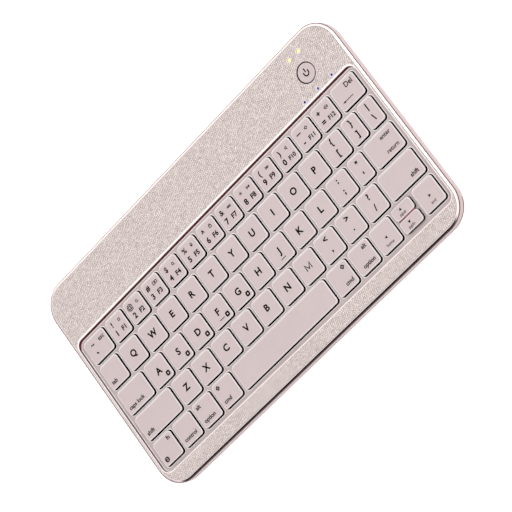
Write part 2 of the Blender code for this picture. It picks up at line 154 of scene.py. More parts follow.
NUMBER_KEYS = "one two three four five six seven eight nine zero minus equals".split()
PUNCTUATION_KEYS = "left_bracket right_bracket backslash semicolon quote comma period slash".split()


# ---------------- materials

NOISE_RANGE = (0.3, 0.7)


def new_material(name, colour, roughness, metallic=0.0, specular=0.5, coat=0.0):
    """A Principled material. Returns the material, its node tree and its shader."""
    made = bpy.data.materials.new(name)
    made.use_nodes = True
    shader = made.node_tree.nodes["Principled BSDF"]
    shader.inputs["Base Color"].default_value = (*colour, 1.0)
    shader.inputs["Roughness"].default_value = roughness
    shader.inputs["Metallic"].default_value = metallic
    shader.inputs["Specular IOR Level"].default_value = specular
    shader.inputs["Coat Weight"].default_value = coat
    return made, made.node_tree, shader


def add(tree, kind, **settings):
    """A node with its properties and its unlinked inputs set."""
    node = tree.nodes.new(kind)
    for name, value in settings.items():
        if name in node.inputs:
            node.inputs[name].default_value = value
        else:
            setattr(node, name.lower(), value)
    return node


def noise(tree, scale, detail=3.0, stretch=None):
    """Noise over the object's own coordinates. scale is in cycles per metre."""
    coords = add(tree, "ShaderNodeTexCoord")
    vector = coords.outputs["Object"]
    if stretch:
        mapping = add(tree, "ShaderNodeMapping", Scale=stretch)
        tree.links.new(vector, mapping.inputs["Vector"])
        vector = mapping.outputs["Vector"]
    texture = add(tree, "ShaderNodeTexNoise", Scale=scale, Detail=detail, Roughness=0.6)
    tree.links.new(vector, texture.inputs["Vector"])
    return texture.outputs["Fac"]


def pebble_texture(tree, scale):
    """Distance to the creases of a cell pattern, over the object's own coordinates."""
    coords = add(tree, "ShaderNodeTexCoord")
    texture = add(tree, "ShaderNodeTexVoronoi", Scale=scale)
    texture.feature = "DISTANCE_TO_EDGE"
    tree.links.new(coords.outputs["Object"], texture.inputs["Vector"])
    return texture.outputs["Distance"]


def ramp(tree, source, stops):
    """A colour ramp of (place, linear colour) stops."""
    node = add(tree, "ShaderNodeValToRGB")
    elements = node.color_ramp.elements
    while len(elements) < len(stops):
        elements.new(0.5)
    for element, (place, colour) in zip(elements, stops):
        element.position = place
        element.color = (*colour, 1.0)
    tree.links.new(source, node.inputs["Fac"])
    return node.outputs["Color"]


def vary_colour(tree, shader, source, stops):
    tree.links.new(ramp(tree, source, stops), shader.inputs["Base Color"])


def mapped(tree, source, taken, given, easing="LINEAR"):
    """The source's values mapped from the taken range to the given one, held at its ends."""
    node = add(tree, "ShaderNodeMapRange")
    node.interpolation_type = easing
    for name, value in zip(("From Min", "From Max", "To Min", "To Max"), (*taken, *given)):
        node.inputs[name].default_value = value
    tree.links.new(source, node.inputs["Value"])
    return node.outputs["Result"]


def vary_roughness(tree, shader, source, low, high):
    tree.links.new(mapped(tree, source, NOISE_RANGE, (low, high)), shader.inputs["Roughness"])


def bump(tree, shader, sources, distance):
    """Bump from one or more heights, each (output, strength)."""
    normal = None
    for source, strength in sources:
        node = add(tree, "ShaderNodeBump", Strength=strength, Distance=distance)
        tree.links.new(source, node.inputs["Height"])
        if normal:
            tree.links.new(normal, node.inputs["Normal"])
        normal = node.outputs["Normal"]
    tree.links.new(normal, shader.inputs["Normal"])


def grained_skin():
    """Leather-like moulded grain, coloured from a per-point attribute: each pebble's own random tone, the
    pebbles painted lighter as highlight and the creases between them painted darker as shade.
    """
    made, tree, shader = new_material("grained_skin", (0.60, 0.51, 0.49), 0.5)
    tone = add(tree, "ShaderNodeAttribute")
    tone.attribute_name = GRAIN_TONE_AND_LIGHT
    # The ramp's dark end is painted shade in the creases, its light end painted highlight on the pebbles.
    vary_colour(tree, shader, tone.outputs["Fac"], [
        (0.0, (0.20, 0.145, 0.135)), (0.5, (0.60, 0.512, 0.493)), (1.0, (0.86, 0.78, 0.75)),
    ])
    vary_roughness(tree, shader, noise(tree, 900.0), 0.42, 0.58)
    bump(tree, shader, [(pebble_texture(tree, 1500.0), 0.4), (noise(tree, 3200.0), 0.35)], 0.03 * MM)
    return made


def polished_metal():
    """Cut and polished rose-gold edge, with very faint cutter marks."""
    made, tree, shader = new_material("polished_edge", (0.92, 0.76, 0.73), 0.14, metallic=1.0)
    vary_roughness(tree, shader, noise(tree, 1200.0), 0.11, 0.19)
    bump(tree, shader, [(noise(tree, 2500.0), 0.08)], 0.01 * MM)
    return made


def satin(name, dark, light, low, high, scale, metallic=0.0, bump_strength=0.2, specular=0.5):
    """Fine satin finish: soft colour drift, a fine speckled surface."""
    made, tree, shader = new_material(name, light, (low + high) / 2, metallic, specular)
    vary_colour(tree, shader, noise(tree, 90.0, 2.0), [(0.3, dark), (0.7, light)])
    vary_roughness(tree, shader, noise(tree, scale), low, high)
    bump(tree, shader, [(noise(tree, scale * 4), bump_strength)], 0.012 * MM)
    return made


def glowing(name, colour, glow, strength):
    """A small clear lens with a lit chip behind it."""
    made, tree, shader = new_material(name, colour, 0.18, coat=0.6)
    shader.inputs["Emission Color"].default_value = (*glow, 1.0)
    shader.inputs["Emission Strength"].default_value = strength
    vary_roughness(tree, shader, noise(tree, 4000.0), 0.14, 0.24)
    return made


def circuit_mask():
    made, tree, shader = new_material("solder_mask", (0.02, 0.14, 0.06), 0.35, coat=0.3)
    vary_colour(tree, shader, pebble_texture(tree, 380.0), [
        (0.02, (0.035, 0.20, 0.09)), (0.09, (0.015, 0.11, 0.05)),
    ])
    vary_roughness(tree, shader, noise(tree, 800.0), 0.3, 0.45)
    return made


def printed_film():
    made, tree, shader = new_material("printed_film", (0.50, 0.55, 0.57), 0.3)
    vary_colour(tree, shader, noise(tree, 420.0, 1.0, (1.0, 6.0, 1.0)), [
        (0.46, (0.50, 0.55, 0.57)), (0.52, (0.62, 0.64, 0.62)),
    ])
    vary_roughness(tree, shader, noise(tree, 1500.0), 0.25, 0.4)
    return made


def brushed_steel():
    made, tree, shader = new_material("brushed_steel", (0.56, 0.56, 0.58), 0.3, metallic=1.0)
    grain = noise(tree, 900.0, 3.0, (0.06, 1.0, 1.0))
    vary_roughness(tree, shader, grain, 0.24, 0.42)
    bump(tree, shader, [(grain, 0.25)], 0.01 * MM)
    return made


def foil_pouch():
    made, tree, shader = new_material("foil_pouch", (0.34, 0.35, 0.37), 0.35, metallic=0.7)
    vary_roughness(tree, shader, noise(tree, 300.0), 0.28, 0.45)
    bump(tree, shader, [(noise(tree, 150.0), 0.4)], 0.2 * MM)
    return made


SKIN = grained_skin()
POLISH = polished_metal()
SHELL = satin("satin_shell", (0.47, 0.365, 0.36), (0.51, 0.40, 0.39), 0.34, 0.46, 900.0, specular=0.3)
# Dark finish: painted shade in the top face's groove and along the front base, and a thin dark band at the
# chamfer's outer edge.
LINE_AND_SHADE = satin("dark_line_and_painted_shade", (0.10, 0.065, 0.068), (0.13, 0.085, 0.09), 0.4, 0.55, 900.0, specular=0.15)
# Pale finish painted as highlight on lips, ledges and rims.
HIGHLIGHT_LIP = satin("pale_painted_highlight", (0.84, 0.77, 0.76), (0.90, 0.83, 0.82), 0.30, 0.42, 1300.0)
WEB = satin("satin_web", (0.50, 0.41, 0.40), (0.535, 0.445, 0.43), 0.40, 0.52, 1100.0)
CAP = satin("satin_cap", (0.515, 0.425, 0.422), (0.535, 0.442, 0.436), 0.38, 0.48, 1600.0, 0.0, 0.15)
# Pale finish painted as highlight on the caps' soft edges.
CAP_HIGHLIGHT = satin("cap_edge_painted_highlight", (0.64, 0.57, 0.57), (0.70, 0.63, 0.63), 0.28, 0.38, 1600.0)
# The key well's wall is painted dark as shade, darkest on the rear wall.
SIDE_WELL_SHADE = satin("side_well_painted_shade", (0.17, 0.12, 0.12), (0.21, 0.15, 0.15), 0.4, 0.55, 900.0, specular=0.15)
REAR_WELL_SHADE = satin("rear_well_painted_shade", (0.105, 0.020, 0.023), (0.135, 0.028, 0.030), 0.4, 0.55, 900.0, specular=0.15)
ROSE = satin("rose_rib", (0.50, 0.16, 0.19), (0.56, 0.20, 0.23), 0.35, 0.5, 900.0, specular=0.2)
# Near-black painted shadow on skirts, gaps, hole walls and undersides.
SHADOW = satin("dark_skirt", (0.002, 0.001, 0.001), (0.004, 0.002, 0.002), 0.8, 0.95, 1200.0, specular=0.0)
INK = satin("legend_ink", (0.006, 0.004, 0.005), (0.010, 0.006, 0.007), 0.7, 0.85, 2000.0, specular=0.02)
SILICONE = satin("milky_silicone", (0.70, 0.70, 0.68), (0.78, 0.78, 0.75), 0.5, 0.7, 700.0)
RUBBER = satin("foot_rubber", (0.40, 0.32, 0.31), (0.45, 0.37, 0.36), 0.75, 0.9, 2600.0, 0.0, 0.6)
AMBER = glowing("amber_lens", (0.85, 0.68, 0.22), (1.0, 0.80, 0.25), 0.45)
BLUE = glowing("blue_lens", (0.008, 0.004, 0.09), (0.03, 0.02, 0.50), 0.03)
LILAC = satin("lilac_rim", (0.66, 0.62, 0.86), (0.72, 0.68, 0.92), 0.3, 0.4, 2000.0)
GOLD = satin("contact_gold", (0.80, 0.55, 0.22), (0.90, 0.65, 0.30), 0.2, 0.3, 3000.0, 1.0)
STEEL = brushed_steel()
BOARD = circuit_mask()
FILM = printed_film()
POUCH = foil_pouch()


# ---------------- mesh building

def linked(name, data):
    """A new object, put into the scene."""
    made = bpy.data.objects.new(name, data)
    bpy.context.scene.collection.objects.link(made)
    return made


def rounded(centre, half, radius, steps=CORNER_STEPS):
    """Points round a rectangle with rounded corners, anticlockwise from its right side."""
    points = []
    for quarter, (sx, sy) in enumerate(((1, 1), (-1, 1), (-1, -1), (1, -1))):
        middle = (centre[0] + sx * (half[0] - radius), centre[1] + sy * (half[1] - radius))
        for step in range(steps + 1):
            angle = (quarter + step / steps) * math.pi / 2
            points.append((middle[0] + radius * math.cos(angle), middle[1] + radius * math.sin(angle)))
    return points


def subdivide(points, spacing):
    """The same closed outline with its long runs cut into steps of about the spacing."""
    made = []
    for a, b in zip(points, points[1:] + points[:1]):
        parts = max(1, round(math.dist(a, b) / spacing))
        for i in range(parts):
            made.append((a[0] + (b[0] - a[0]) * i / parts, a[1] + (b[1] - a[1]) * i / parts))
    return made


def circle(centre, radius, steps):
    return [
        (centre[0] + radius * math.cos(2 * math.pi * i / steps),
         centre[1] + radius * math.sin(2 * math.pi * i / steps))
        for i in range(steps)
    ]


def rounded_distance(x, y, centre, half, radius):
    """Signed distance to a rounded rectangle's outline, negative inside."""
    dx = np.abs(x - centre[0]) - (half[0] - radius)
    dy = np.abs(y - centre[1]) - (half[1] - radius)
    outside = np.hypot(np.maximum(dx, 0), np.maximum(dy, 0))
    return outside + np.minimum(np.maximum(dx, dy), 0) - radius


class Shape:
    """Points and faces of one mesh, built up loop by loop."""

    def __init__(self, *finishes):
        self.finishes = list(finishes)
        self.points = []
        self.faces = []
        self.face_finishes = []

    def loop(self, outline, height):
        """Add points at one height, and return their numbers."""
        first = len(self.points)
        self.points += [(x, y, height) for x, y in outline]
        return list(range(first, len(self.points)))

    def face(self, corners, finish):
        self.faces.append(tuple(corners))
        self.face_finishes.append(self.finishes.index(finish))

    def strip(self, a, b, finish):
        """Quads between two closed loops of as many points."""
        for i in range(len(a)):
            j = (i + 1) % len(a)
            self.face((a[i], a[j], b[j], b[i]), finish)

    def strip_by_place(self, a, b, finish_at):
        """A strip whose finish depends on where each quad lies."""
        for i in range(len(a)):
            j = (i + 1) % len(a)
            self.face((a[i], a[j], b[j], b[i]), finish_at(*self.points[a[i]][:2]))

    def region(self, outer, holes, finish, keep, extra=()):
        """Triangles between an outer loop and its holes, through extra points inside."""
        numbers = list(outer) + [n for hole in holes for n in hole] + list(extra)
        edges = []
        start = 0
        for ring in [outer] + list(holes):
            size = len(ring)
            edges += [(start + i, start + (i + 1) % size) for i in range(size)]
            start += size
        flat = [Vector(self.points[n][:2]) for n in numbers]
        result = delaunay_2d_cdt(flat, edges, [], 1, 1e-8)
        places, triangles, origins = result[0], result[2], result[3]
        corner = np.array([[places[i].x, places[i].y] for t in triangles for i in t])
        middles = corner.reshape(-1, 3, 2).mean(1)
        kept = keep(middles[:, 0], middles[:, 1])
        for triangle, inside in zip(triangles, kept):
            if inside:
                self.face([numbers[origins[i][0]] for i in triangle], finish)

    def mesh(self, name, sharp=30.0):
        """The mesh, its faces turned outwards, smooth apart from its sharp edges."""
        made = bpy.data.meshes.new(name)
        made.from_pydata(self.points, [], self.faces)
        for finish in self.finishes:
            made.materials.append(finish)
        made.polygons.foreach_set("material_index", self.face_finishes)
        form = bmesh.new()
        form.from_mesh(made)
        bmesh.ops.recalc_face_normals(form, faces=form.faces)
        form.to_mesh(made)
        form.free()
        made.shade_smooth()
        made.set_sharp_from_angle(angle=math.radians(sharp))
        return made

    def piece(self, name, body, slot, *nodes, at=(0, 0, 0), sharp=30.0):
        """The finished piece, riding on its body and standing for its CAD nodes."""
        made = linked(name, self.mesh(name, sharp))
        made.location = at
        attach(made, body)
        if nodes:
            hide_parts(*nodes)
        return made


def eased(t):
    """Smoothstep of t, which runs from 0 to 1."""
    return t * t * (3 - 2 * t)


def arc_stations(inset, height, radius, start, end, steps):
    """(inset, height) stations along a quarter round, its centre at the given place."""
    made = []
    for i in range(steps + 1):
        angle = math.radians(start + (end - start) * i / steps)
        made.append((inset - radius * math.cos(angle), height + radius * math.sin(angle)))
    return made


def closed_skin(shape, loops, finish):
    """Strips through the loops, and a face over each end."""
    for a, b in zip(loops, loops[1:]):
        shape.strip(a, b, finish)
    shape.face(loops[0], finish)
    shape.face(loops[-1], finish)


def turned(shape, centre, profile, steps, finish):
    """A solid of revolution from (radius, height) stations."""
    loops = [shape.loop(circle(centre, radius, steps), height) for radius, height in profile]
    closed_skin(shape, loops, finish)


def lofted(shape, centre, half, radius, profile, finish, steps=6):
    """A solid with a rounded rectangular plan, from (inset, height) stations."""
    loops = []
    for inset, height in profile:
        size = (half[0] - inset, half[1] - inset)
        loops.append(shape.loop(rounded(centre, size, max(radius - inset, radius * 0.2), steps), height))
    closed_skin(shape, loops, finish)


# ---------------- the key layout

def cap_box(name):
    """Left, right, front and rear of a cap that has a CAD node of its own."""
    low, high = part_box(name + "_key")
    return low.x + FLANGE, high.x - FLANGE, low.y + FLANGE, high.y - FLANGE


def cap_places():
    """Every cap as name -> (centre, half size). The banked ones lie between their neighbours."""
    boxes = {node[:-4]: cap_box(node[:-4]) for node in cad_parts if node.endswith("_key")}
    unit = boxes["a"][1] - boxes["a"][0]
    field_right = boxes["enter"][1]
    start, end = boxes["esc"][1] + KEY_GAP, boxes["delete"][0] - KEY_GAP
    pitch = (end - start + KEY_GAP) / len(NUMBER_KEYS)
    for i, name in enumerate(NUMBER_KEYS):
        left = start + i * pitch
        boxes[name] = (left, left + pitch - KEY_GAP, *boxes["esc"][2:])
    chains = (("p", ("left_bracket",)), ("l", ("semicolon",)), ("m", ("comma", "period", "slash")))
    for neighbour, names in chains:
        left = boxes[neighbour][1] + KEY_GAP
        for name in names:
            boxes[name] = (left, left + unit, *boxes[neighbour][2:])
            left += unit + KEY_GAP
    left = boxes["semicolon"][1] + KEY_GAP
    boxes["quote"] = (left, boxes["enter"][0] - KEY_GAP, *boxes["l"][2:])
    left = boxes["left_bracket"][1] + KEY_GAP
    narrow = (field_right - left - KEY_GAP) / 2
    boxes["right_bracket"] = (left, left + narrow, *boxes["p"][2:])
    boxes["backslash"] = (field_right - narrow, field_right, *boxes["p"][2:])
    return {
        name: (((left + right) / 2, (front + rear) / 2), ((right - left) / 2, (rear - front) / 2))
        for name, (left, right, front, rear) in boxes.items()
    }


CAPS = cap_places()


def home_node(name):
    """The CAD node that a cap belongs to."""
    if name in NUMBER_KEYS:
        return "number_keys"
    if name in PUNCTUATION_KEYS:
        return "punctuation_keys"
    return name + "_key"


# ---------------- printed legends
# Laid out in millimetres, round the middle of each cap.

LETTER_SIZE = 5.5
WORD_SIZE = 3.4
ESC_SIZE = 3.7
DEL_SIZE = 4.1
DIGIT_SIZE = 4.7
FUNCTION_SIZE = 4.0
SYMBOL_SIZE = 4.4
PAIR_SIZE = 5.0
TINY_SIZE = 2.4
STROKE = 0.62
FINE_STROKE = 0.4
HEAVY = 0.036
BOLD = 0.028
MEDIUM = 0.02
LIGHT = 0.01

GLYPHS = {}


def weight(text):
    """How far the outline is swollen, as a share of the size, without closing its openings."""
    if text in ("home", "end", "pgup", "pgdn", "*"):
        return LIGHT
    if text in "@%&$" or (len(text) > 2 and "e" in text):
        return MEDIUM
    return HEAVY if len(text) == 1 or text[0] == "F" else BOLD


def glyphs(text, size):
    """Points and faces of a text as a thin solid, its baseline at y = 0, centred on x = 0."""
    if (text, size) in GLYPHS:
        return GLYPHS[text, size]
    curve = bpy.data.curves.new("legend", "FONT")
    curve.body = text
    curve.size = size * MM
    curve.extrude = 1.0 * MM
    curve.offset = weight(text) * size * MM
    curve.resolution_u = 3
    carrier = linked("legend", curve)
    bpy.context.view_layer.update()
    mesh = bpy.data.meshes.new_from_object(carrier.evaluated_get(bpy.context.evaluated_depsgraph_get()))
    form = bmesh.new()
    form.from_mesh(mesh)
    bmesh.ops.remove_doubles(form, verts=form.verts, dist=0.002 * MM)
    form.verts.ensure_lookup_table()
    points = [tuple(v.co) for v in form.verts]
    faces = [[v.index for v in f.verts] for f in form.faces]
    form.free()
    bpy.data.objects.remove(carrier)
    bpy.data.curves.remove(curve)
    bpy.data.meshes.remove(mesh)
    left, right = min(p[0] for p in points), max(p[0] for p in points)
    points = [((x - (left + right) / 2) / MM, y / MM, z) for x, y, z in points]
    GLYPHS[text, size] = (points, faces, (right - left) / MM)
    return GLYPHS[text, size]


class Legend:
    """Ink on one surface, drawn in millimetres. height(x, y) is that surface, in metres."""

    def __init__(self, shape, height):
        self.shape = shape
        self.height = height

    def solid(self, points, faces):
        """Add a thin solid whose points lie at z > 0 for its face and z <= 0 for its foot."""
        first = len(self.shape.points)
        for x, y, z in points:
            lift = INK_PROUD if z > 0 else -INK_SINK
            self.shape.points.append((x * MM, y * MM, self.height(x * MM, y * MM) + lift))
        for corners in faces:
            self.shape.face([first + i for i in corners], INK)

    def text(self, text, size, x, y, align="centre"):
        """Text with its baseline at y, and its left edge, centre or right edge at x."""
        points, faces, width = glyphs(text, size)
        shift = {"left": width / 2, "centre": 0.0, "right": -width / 2}[align]
        self.solid([(px + x + shift, py + y, pz) for px, py, pz in points], faces)

    def outline(self, points):
        """A filled area inside one outline."""
        size = len(points)
        solid = [(x, y, 1) for x, y in points] + [(x, y, -1) for x, y in points]
        faces = [list(range(size)), list(range(2 * size - 1, size - 1, -1))]
        faces += [[i, i + size, (i + 1) % size + size, (i + 1) % size] for i in range(size)]
        self.solid(solid, faces)

    def ring(self, points, width):
        """A closed stroke along the points, which run anticlockwise."""
        size = len(points)
        inner, outer = offset_both(points, width / 2, True)
        solid = [(x, y, z) for z in (1, -1) for side in (inner, outer) for x, y in side]
        faces = []
        for i in range(size):
            j = (i + 1) % size
            faces.append([i, j, size + j, size + i])
            faces.append([2 * size + i, 3 * size + i, 3 * size + j, 2 * size + j])
            faces.append([i, 2 * size + i, 2 * size + j, j])
            faces.append([size + i, size + j, 3 * size + j, 3 * size + i])
        self.solid(solid, faces)

    def stroke(self, points, width):
        """An open stroke along the points."""
        left, right = offset_both(points, width / 2, False)
        self.outline(left + right[::-1])


def offset_both(points, distance, closed):
    """The lines at a distance to the left and to the right of a polyline."""
    left, right = [], []
    count = len(points)
    for i, (x, y) in enumerate(points):
        before = points[i - 1] if closed or i else None
        after = points[(i + 1) % count] if closed or i < count - 1 else None
        steps = [(b[0] - a[0], b[1] - a[1]) for a, b in ((before, (x, y)), ((x, y), after)) if a and b]
        units = [(dx / math.hypot(dx, dy), dy / math.hypot(dx, dy)) for dx, dy in steps]
        tx, ty = sum(u[0] for u in units), sum(u[1] for u in units)
        length = math.hypot(tx, ty)
        tx, ty = tx / length, ty / length
        reach = distance / max(0.5, tx * units[0][0] + ty * units[0][1])
        left.append((x - ty * reach, y + tx * reach))
        right.append((x + ty * reach, y - tx * reach))
    return left, right


def arc(x, y, radius, start, end, steps=10):
    """Points along an arc, in degrees."""
    made = []
    for i in range(steps + 1):
        angle = math.radians(start + (end - start) * i / steps)
        made.append((x + radius * math.cos(angle), y + radius * math.sin(angle)))
    return made


def triangle(x, y, size, heading):
    """A filled triangle's outline, pointing along heading degrees."""
    return [
        (x + size * math.cos(math.radians(heading + turn)), y + size * math.sin(math.radians(heading + turn)))
        for turn in (0, 120, 240)
    ]


def square_points(x, y, half_x, half_y):
    return [(x + sx * half_x, y + sy * half_y) for sx, sy in ((1, -1), (1, 1), (-1, 1), (-1, -1))]


def speaker(waves):
    """A loudspeaker's lines, with some sound waves on its right."""
    horn = [(-1.1, -0.35), (-0.6, -0.35), (0.05, -0.95), (0.05, 0.95), (-0.6, 0.35), (-1.1, 0.35)]
    return [(horn, True)] + [(arc(0.1, 0, 0.65 + 0.55 * wave, -45, 45, 6), False) for wave in range(waves)]


# Small generic pictures on the number row, as (points, closed) lines round their centre.
PICTURES = {
    "home": [(square_points(0, -0.1, 0.65, 0.65), True)],
    "lens": [(circle((-0.1, 0.1), 0.72, 16), True), ([(0.45, -0.45), (1.0, -1.0)], False)],
    "windows": [(square_points(-0.85, 0, 0.7, 0.85), True), (square_points(1.05, 0.15, 0.75, 0.7), True)],
    "microphone": [(rounded((0, 0.35), (0.42, 0.72), 0.4, 4), True),
                   (arc(0, 0.2, 0.85, 200, 340), False), ([(0, -0.7), (0, -1.15)], False)],
    "lock": [(square_points(0, -0.3, 0.85, 0.6), True),
             ([(0.5, 0.45)] + arc(0, 0.6, 0.5, 0, 180) + [(-0.5, 0.45)], False)],
    "back": [(triangle(-0.75, 0, 0.62, 180), True), (triangle(0.45, 0, 0.62, 180), True),
             ([(1.35, -0.6), (1.35, 0.6)], False)],
    "play": [(triangle(-0.6, 0, 0.7, 0), True),
             ([(0.6, -0.6), (0.6, 0.6)], False), ([(1.15, -0.6), (1.15, 0.6)], False)],
    "forward": [(triangle(-0.7, 0, 0.68, 0), True), (triangle(0.5, 0, 0.68, 0), True)],
    "speaker": speaker(0), "quieter": speaker(1), "louder": speaker(2),
}
PICTURE_STROKE = {"play": (FINE_STROKE, FINE_STROKE * 1.3)}


def draw_picture(ink, kind, x, y):
    closed_width, open_width = PICTURE_STROKE.get(kind, (FINE_STROKE, FINE_STROKE))
    for points, closed in PICTURES[kind]:
        placed = [(px + x, py + y) for px, py in points]
        if closed:
            ink.ring(placed, closed_width)
        else:
            ink.stroke(placed, open_width)


NUMBER_LEGENDS = {
    "one": ("!", "1", "F1", "home"),
    "two": ("@", "2", "F2", "lens"),
    "three": ("#", "3", "F3", "windows"),
    "four": ("$", "4", "F4", "lens"),
    "five": ("%", "5", "F5", "microphone"),
    "six": ("^", "6", "F6", "lock"),
    "seven": ("&", "7", "F7", "back"),
    "eight": ("*", "8", "F8", "play"),
    "nine": ("(", "9", "F9", "forward"),
    "zero": (")", "0", "F10", "speaker"),
    "minus": ("_", "-", "F11", "quieter"),
    "equals": ("+", "=", "F12", "louder"),
}
PAIR_LEGENDS = {
    "left_bracket": ("{", "["), "right_bracket": ("}", "]"), "backslash": ("|", "\\"),
    "semicolon": (":", ";"), "quote": ('"', "'"),
    "comma": ("<", ","), "period": (">", "."), "slash": ("?", "/"),
}
MARKED_LETTERS = "asdfg"
HOMING_LETTERS = "fj"
WORD_MARGIN = 2.2
WORD_BASELINE = 2.6
ARROW_WORDS = {"left_arrow": ("home", 180), "right_arrow": ("end", 0),
               "up_arrow": ("pgup", 90), "down_arrow": ("pgdn", 270)}


def number_legend(ink, name, half):
    symbol, digit, function, picture = NUMBER_LEGENDS[name]
    left, right = -3.1, 2.85
    rear, front = half[1] - 4.2, -half[1] + 4.4
    ink.text(digit, DIGIT_SIZE, left, front - 1.5)
    ink.text(function, FUNCTION_SIZE if len(function) < 3 else FUNCTION_SIZE * 0.85,
             right, front - 1.35)
    if symbol == "_":
        ink.stroke([(left - 1.6, rear), (left + 1.6, rear)], STROKE)
    else:
        lower = {"*": 2.0, "^": 1.7}.get(symbol, 1.3)
        ink.text(symbol, SYMBOL_SIZE, left, rear - lower)
    draw_picture(ink, picture, right, rear)


def pair_legend(ink, name, half):
    upper, lower = PAIR_LEGENDS[name]
    rear, front = half[1] - 3.7, -half[1] + 4.7
    drop = {'"': 2.6, "'": 2.6, ",": 0.6, ".": 0.6, ":": 1.0, ";": 0.9}
    ink.text(upper, PAIR_SIZE, 0, rear - drop.get(upper, 1.5))
    ink.text(lower, PAIR_SIZE, 0, front - drop.get(lower, 1.5))


def letter_m(ink):
    """The letter M as one stroke: its swollen outline would close on itself."""
    side, tall, dip = 1.85, 1.87, 1.2
    ink.stroke([(-side, -tall), (-side, tall - 0.15), (0, -dip), (side, tall - 0.15), (side, -tall)],
               STROKE)


def letter_legend(ink, name, half):
    if name == "m":
        letter_m(ink)
    else:
        ink.text(name.upper(), LETTER_SIZE, 0, -1.88)
    if name in MARKED_LETTERS:
        mark = (half[0] - 3.15, -half[1] + 3.0)
        ink.ring(rounded(mark, (0.95, 1.0), 0.5, 3), 1.0)
    if name in HOMING_LETTERS:
        bar = -half[1] + 2.9
        ink.stroke([(-1.9, bar), (1.9, bar)], 0.4)


def esc_legend(ink, half):
    left, rear = -half[0] + 6.1, half[1] - 4.1
    ink.stroke([(left - 1.3, rear - 0.15), (left - 0.5, rear + 0.2),
                (left + 0.5, rear - 0.2), (left + 1.3, rear + 0.15)], STROKE)
    ink.stroke([(left - 0.55, -half[1] + 5.2), (left + 0.6, -half[1] + 4.1)], 0.9)
    ink.text("esc", ESC_SIZE, half[0] - 1.7, rear - 0.85, "right")


def delete_legend(ink, half):
    ink.text("Del", DEL_SIZE, half[0] - 2.6, half[1] - 4.7, "right")
    row, left = -half[1] + 4.0, -half[0] + 2.7
    ink.stroke([(left + 1.2, row), (left + 8.0, row)], FINE_STROKE)
    ink.outline([(left, row), (left + 1.9, row - 0.6), (left + 1.9, row + 0.6)])


def word_x(half, side, right_margin=WORD_MARGIN):
    """Where a word starts at the cap's left side, or ends at its right side."""
    return WORD_MARGIN - half[0] if side == "left" else half[0] - right_margin


def word_legend(word, side="left"):
    """A legend that prints one word in a front corner."""
    def draw(ink, half):
        ink.text(word, WORD_SIZE, word_x(half, side, 3.3), -half[1] + WORD_BASELINE, side)
    return draw


def enter_legend(ink, half):
    edge = half[0] - 3.0
    ink.text("enter", WORD_SIZE, edge, half[1] - 4.5, "right")
    ink.text("return", WORD_SIZE, edge, -half[1] + WORD_BASELINE, "right")


def fn_legend(ink, half):
    ink.text("fn", WORD_SIZE, half[0] - 2.2, half[1] - 4.0, "right")
    globe = (-half[0] + 3.4, -half[1] + 3.3)
    ink.ring(circle(globe, 1.3, 20), 0.6)
    ink.ring(rounded(globe, (0.55, 1.2), 0.54, 4), FINE_STROKE)
    ink.stroke([(globe[0] - 1.2, globe[1]), (globe[0] + 1.2, globe[1])], FINE_STROKE)


def option_legend(side):
    def draw(ink, half):
        x = word_x(half, side)
        ink.text("alt", WORD_SIZE, x, half[1] - 4.0, side)
        ink.text("option", WORD_SIZE, x, -half[1] + WORD_BASELINE, side)
    return draw


def command_legend(side):
    """The word over a plain diamond, which stands for the maker's own sign."""
    def draw(ink, half):
        x = word_x(half, side)
        ink.text("cmd", WORD_SIZE, x, -half[1] + WORD_BASELINE, side)
        mark = x + (1.5 if side == "left" else -1.5)
        row = half[1] - 3.0
        ink.ring([(mark + 1.1, row), (mark, row + 1.1), (mark - 1.1, row),
                  (mark, row - 1.1)], STROKE)
        ink.outline(circle((mark, row), 0.32, 10))
    return draw


def arrow_legend(name):
    def draw(ink, half):
        word, heading = ARROW_WORDS[name]
        tall = name in ("left_arrow", "right_arrow")
        row = -0.6 if tall else 0.9
        x = 0.0 if tall else -1.0
        ink.outline(triangle(x, row, 1.05, heading))
        below = -half[1] + (2.4 if tall else 1.35)
        ink.text(word, TINY_SIZE, x, below)
    return draw


OTHER_LEGENDS = {
    "esc": esc_legend, "delete": delete_legend,
    "tab": word_legend("tab"), "caps_lock": word_legend("caps lock"),
    "left_shift": word_legend("shift"), "right_shift": word_legend("shift", "right"), "enter": enter_legend,
    "fn": fn_legend, "control": word_legend("control"),
    "left_option": option_legend("left"), "right_option": option_legend("right"),
    "left_command": command_legend("left"), "right_command": command_legend("right"),
}
for arrow in ARROW_WORDS:
    OTHER_LEGENDS[arrow] = arrow_legend(arrow)


def print_legend(ink, name, half):
    if name in NUMBER_LEGENDS:
        number_legend(ink, name, half)
    elif name in PAIR_LEGENDS:
        pair_legend(ink, name, half)
    elif len(name) == 1:
        letter_legend(ink, name, half)
    elif name in OTHER_LEGENDS:
        OTHER_LEGENDS[name](ink, half)


# ---------------- keycaps

def dish(distance, run):
    """How far the cap's top lies below its rim, at a distance from its edge."""
    return DISH_DEPTH * eased(min(max(distance / run, 0.0), 1.0))


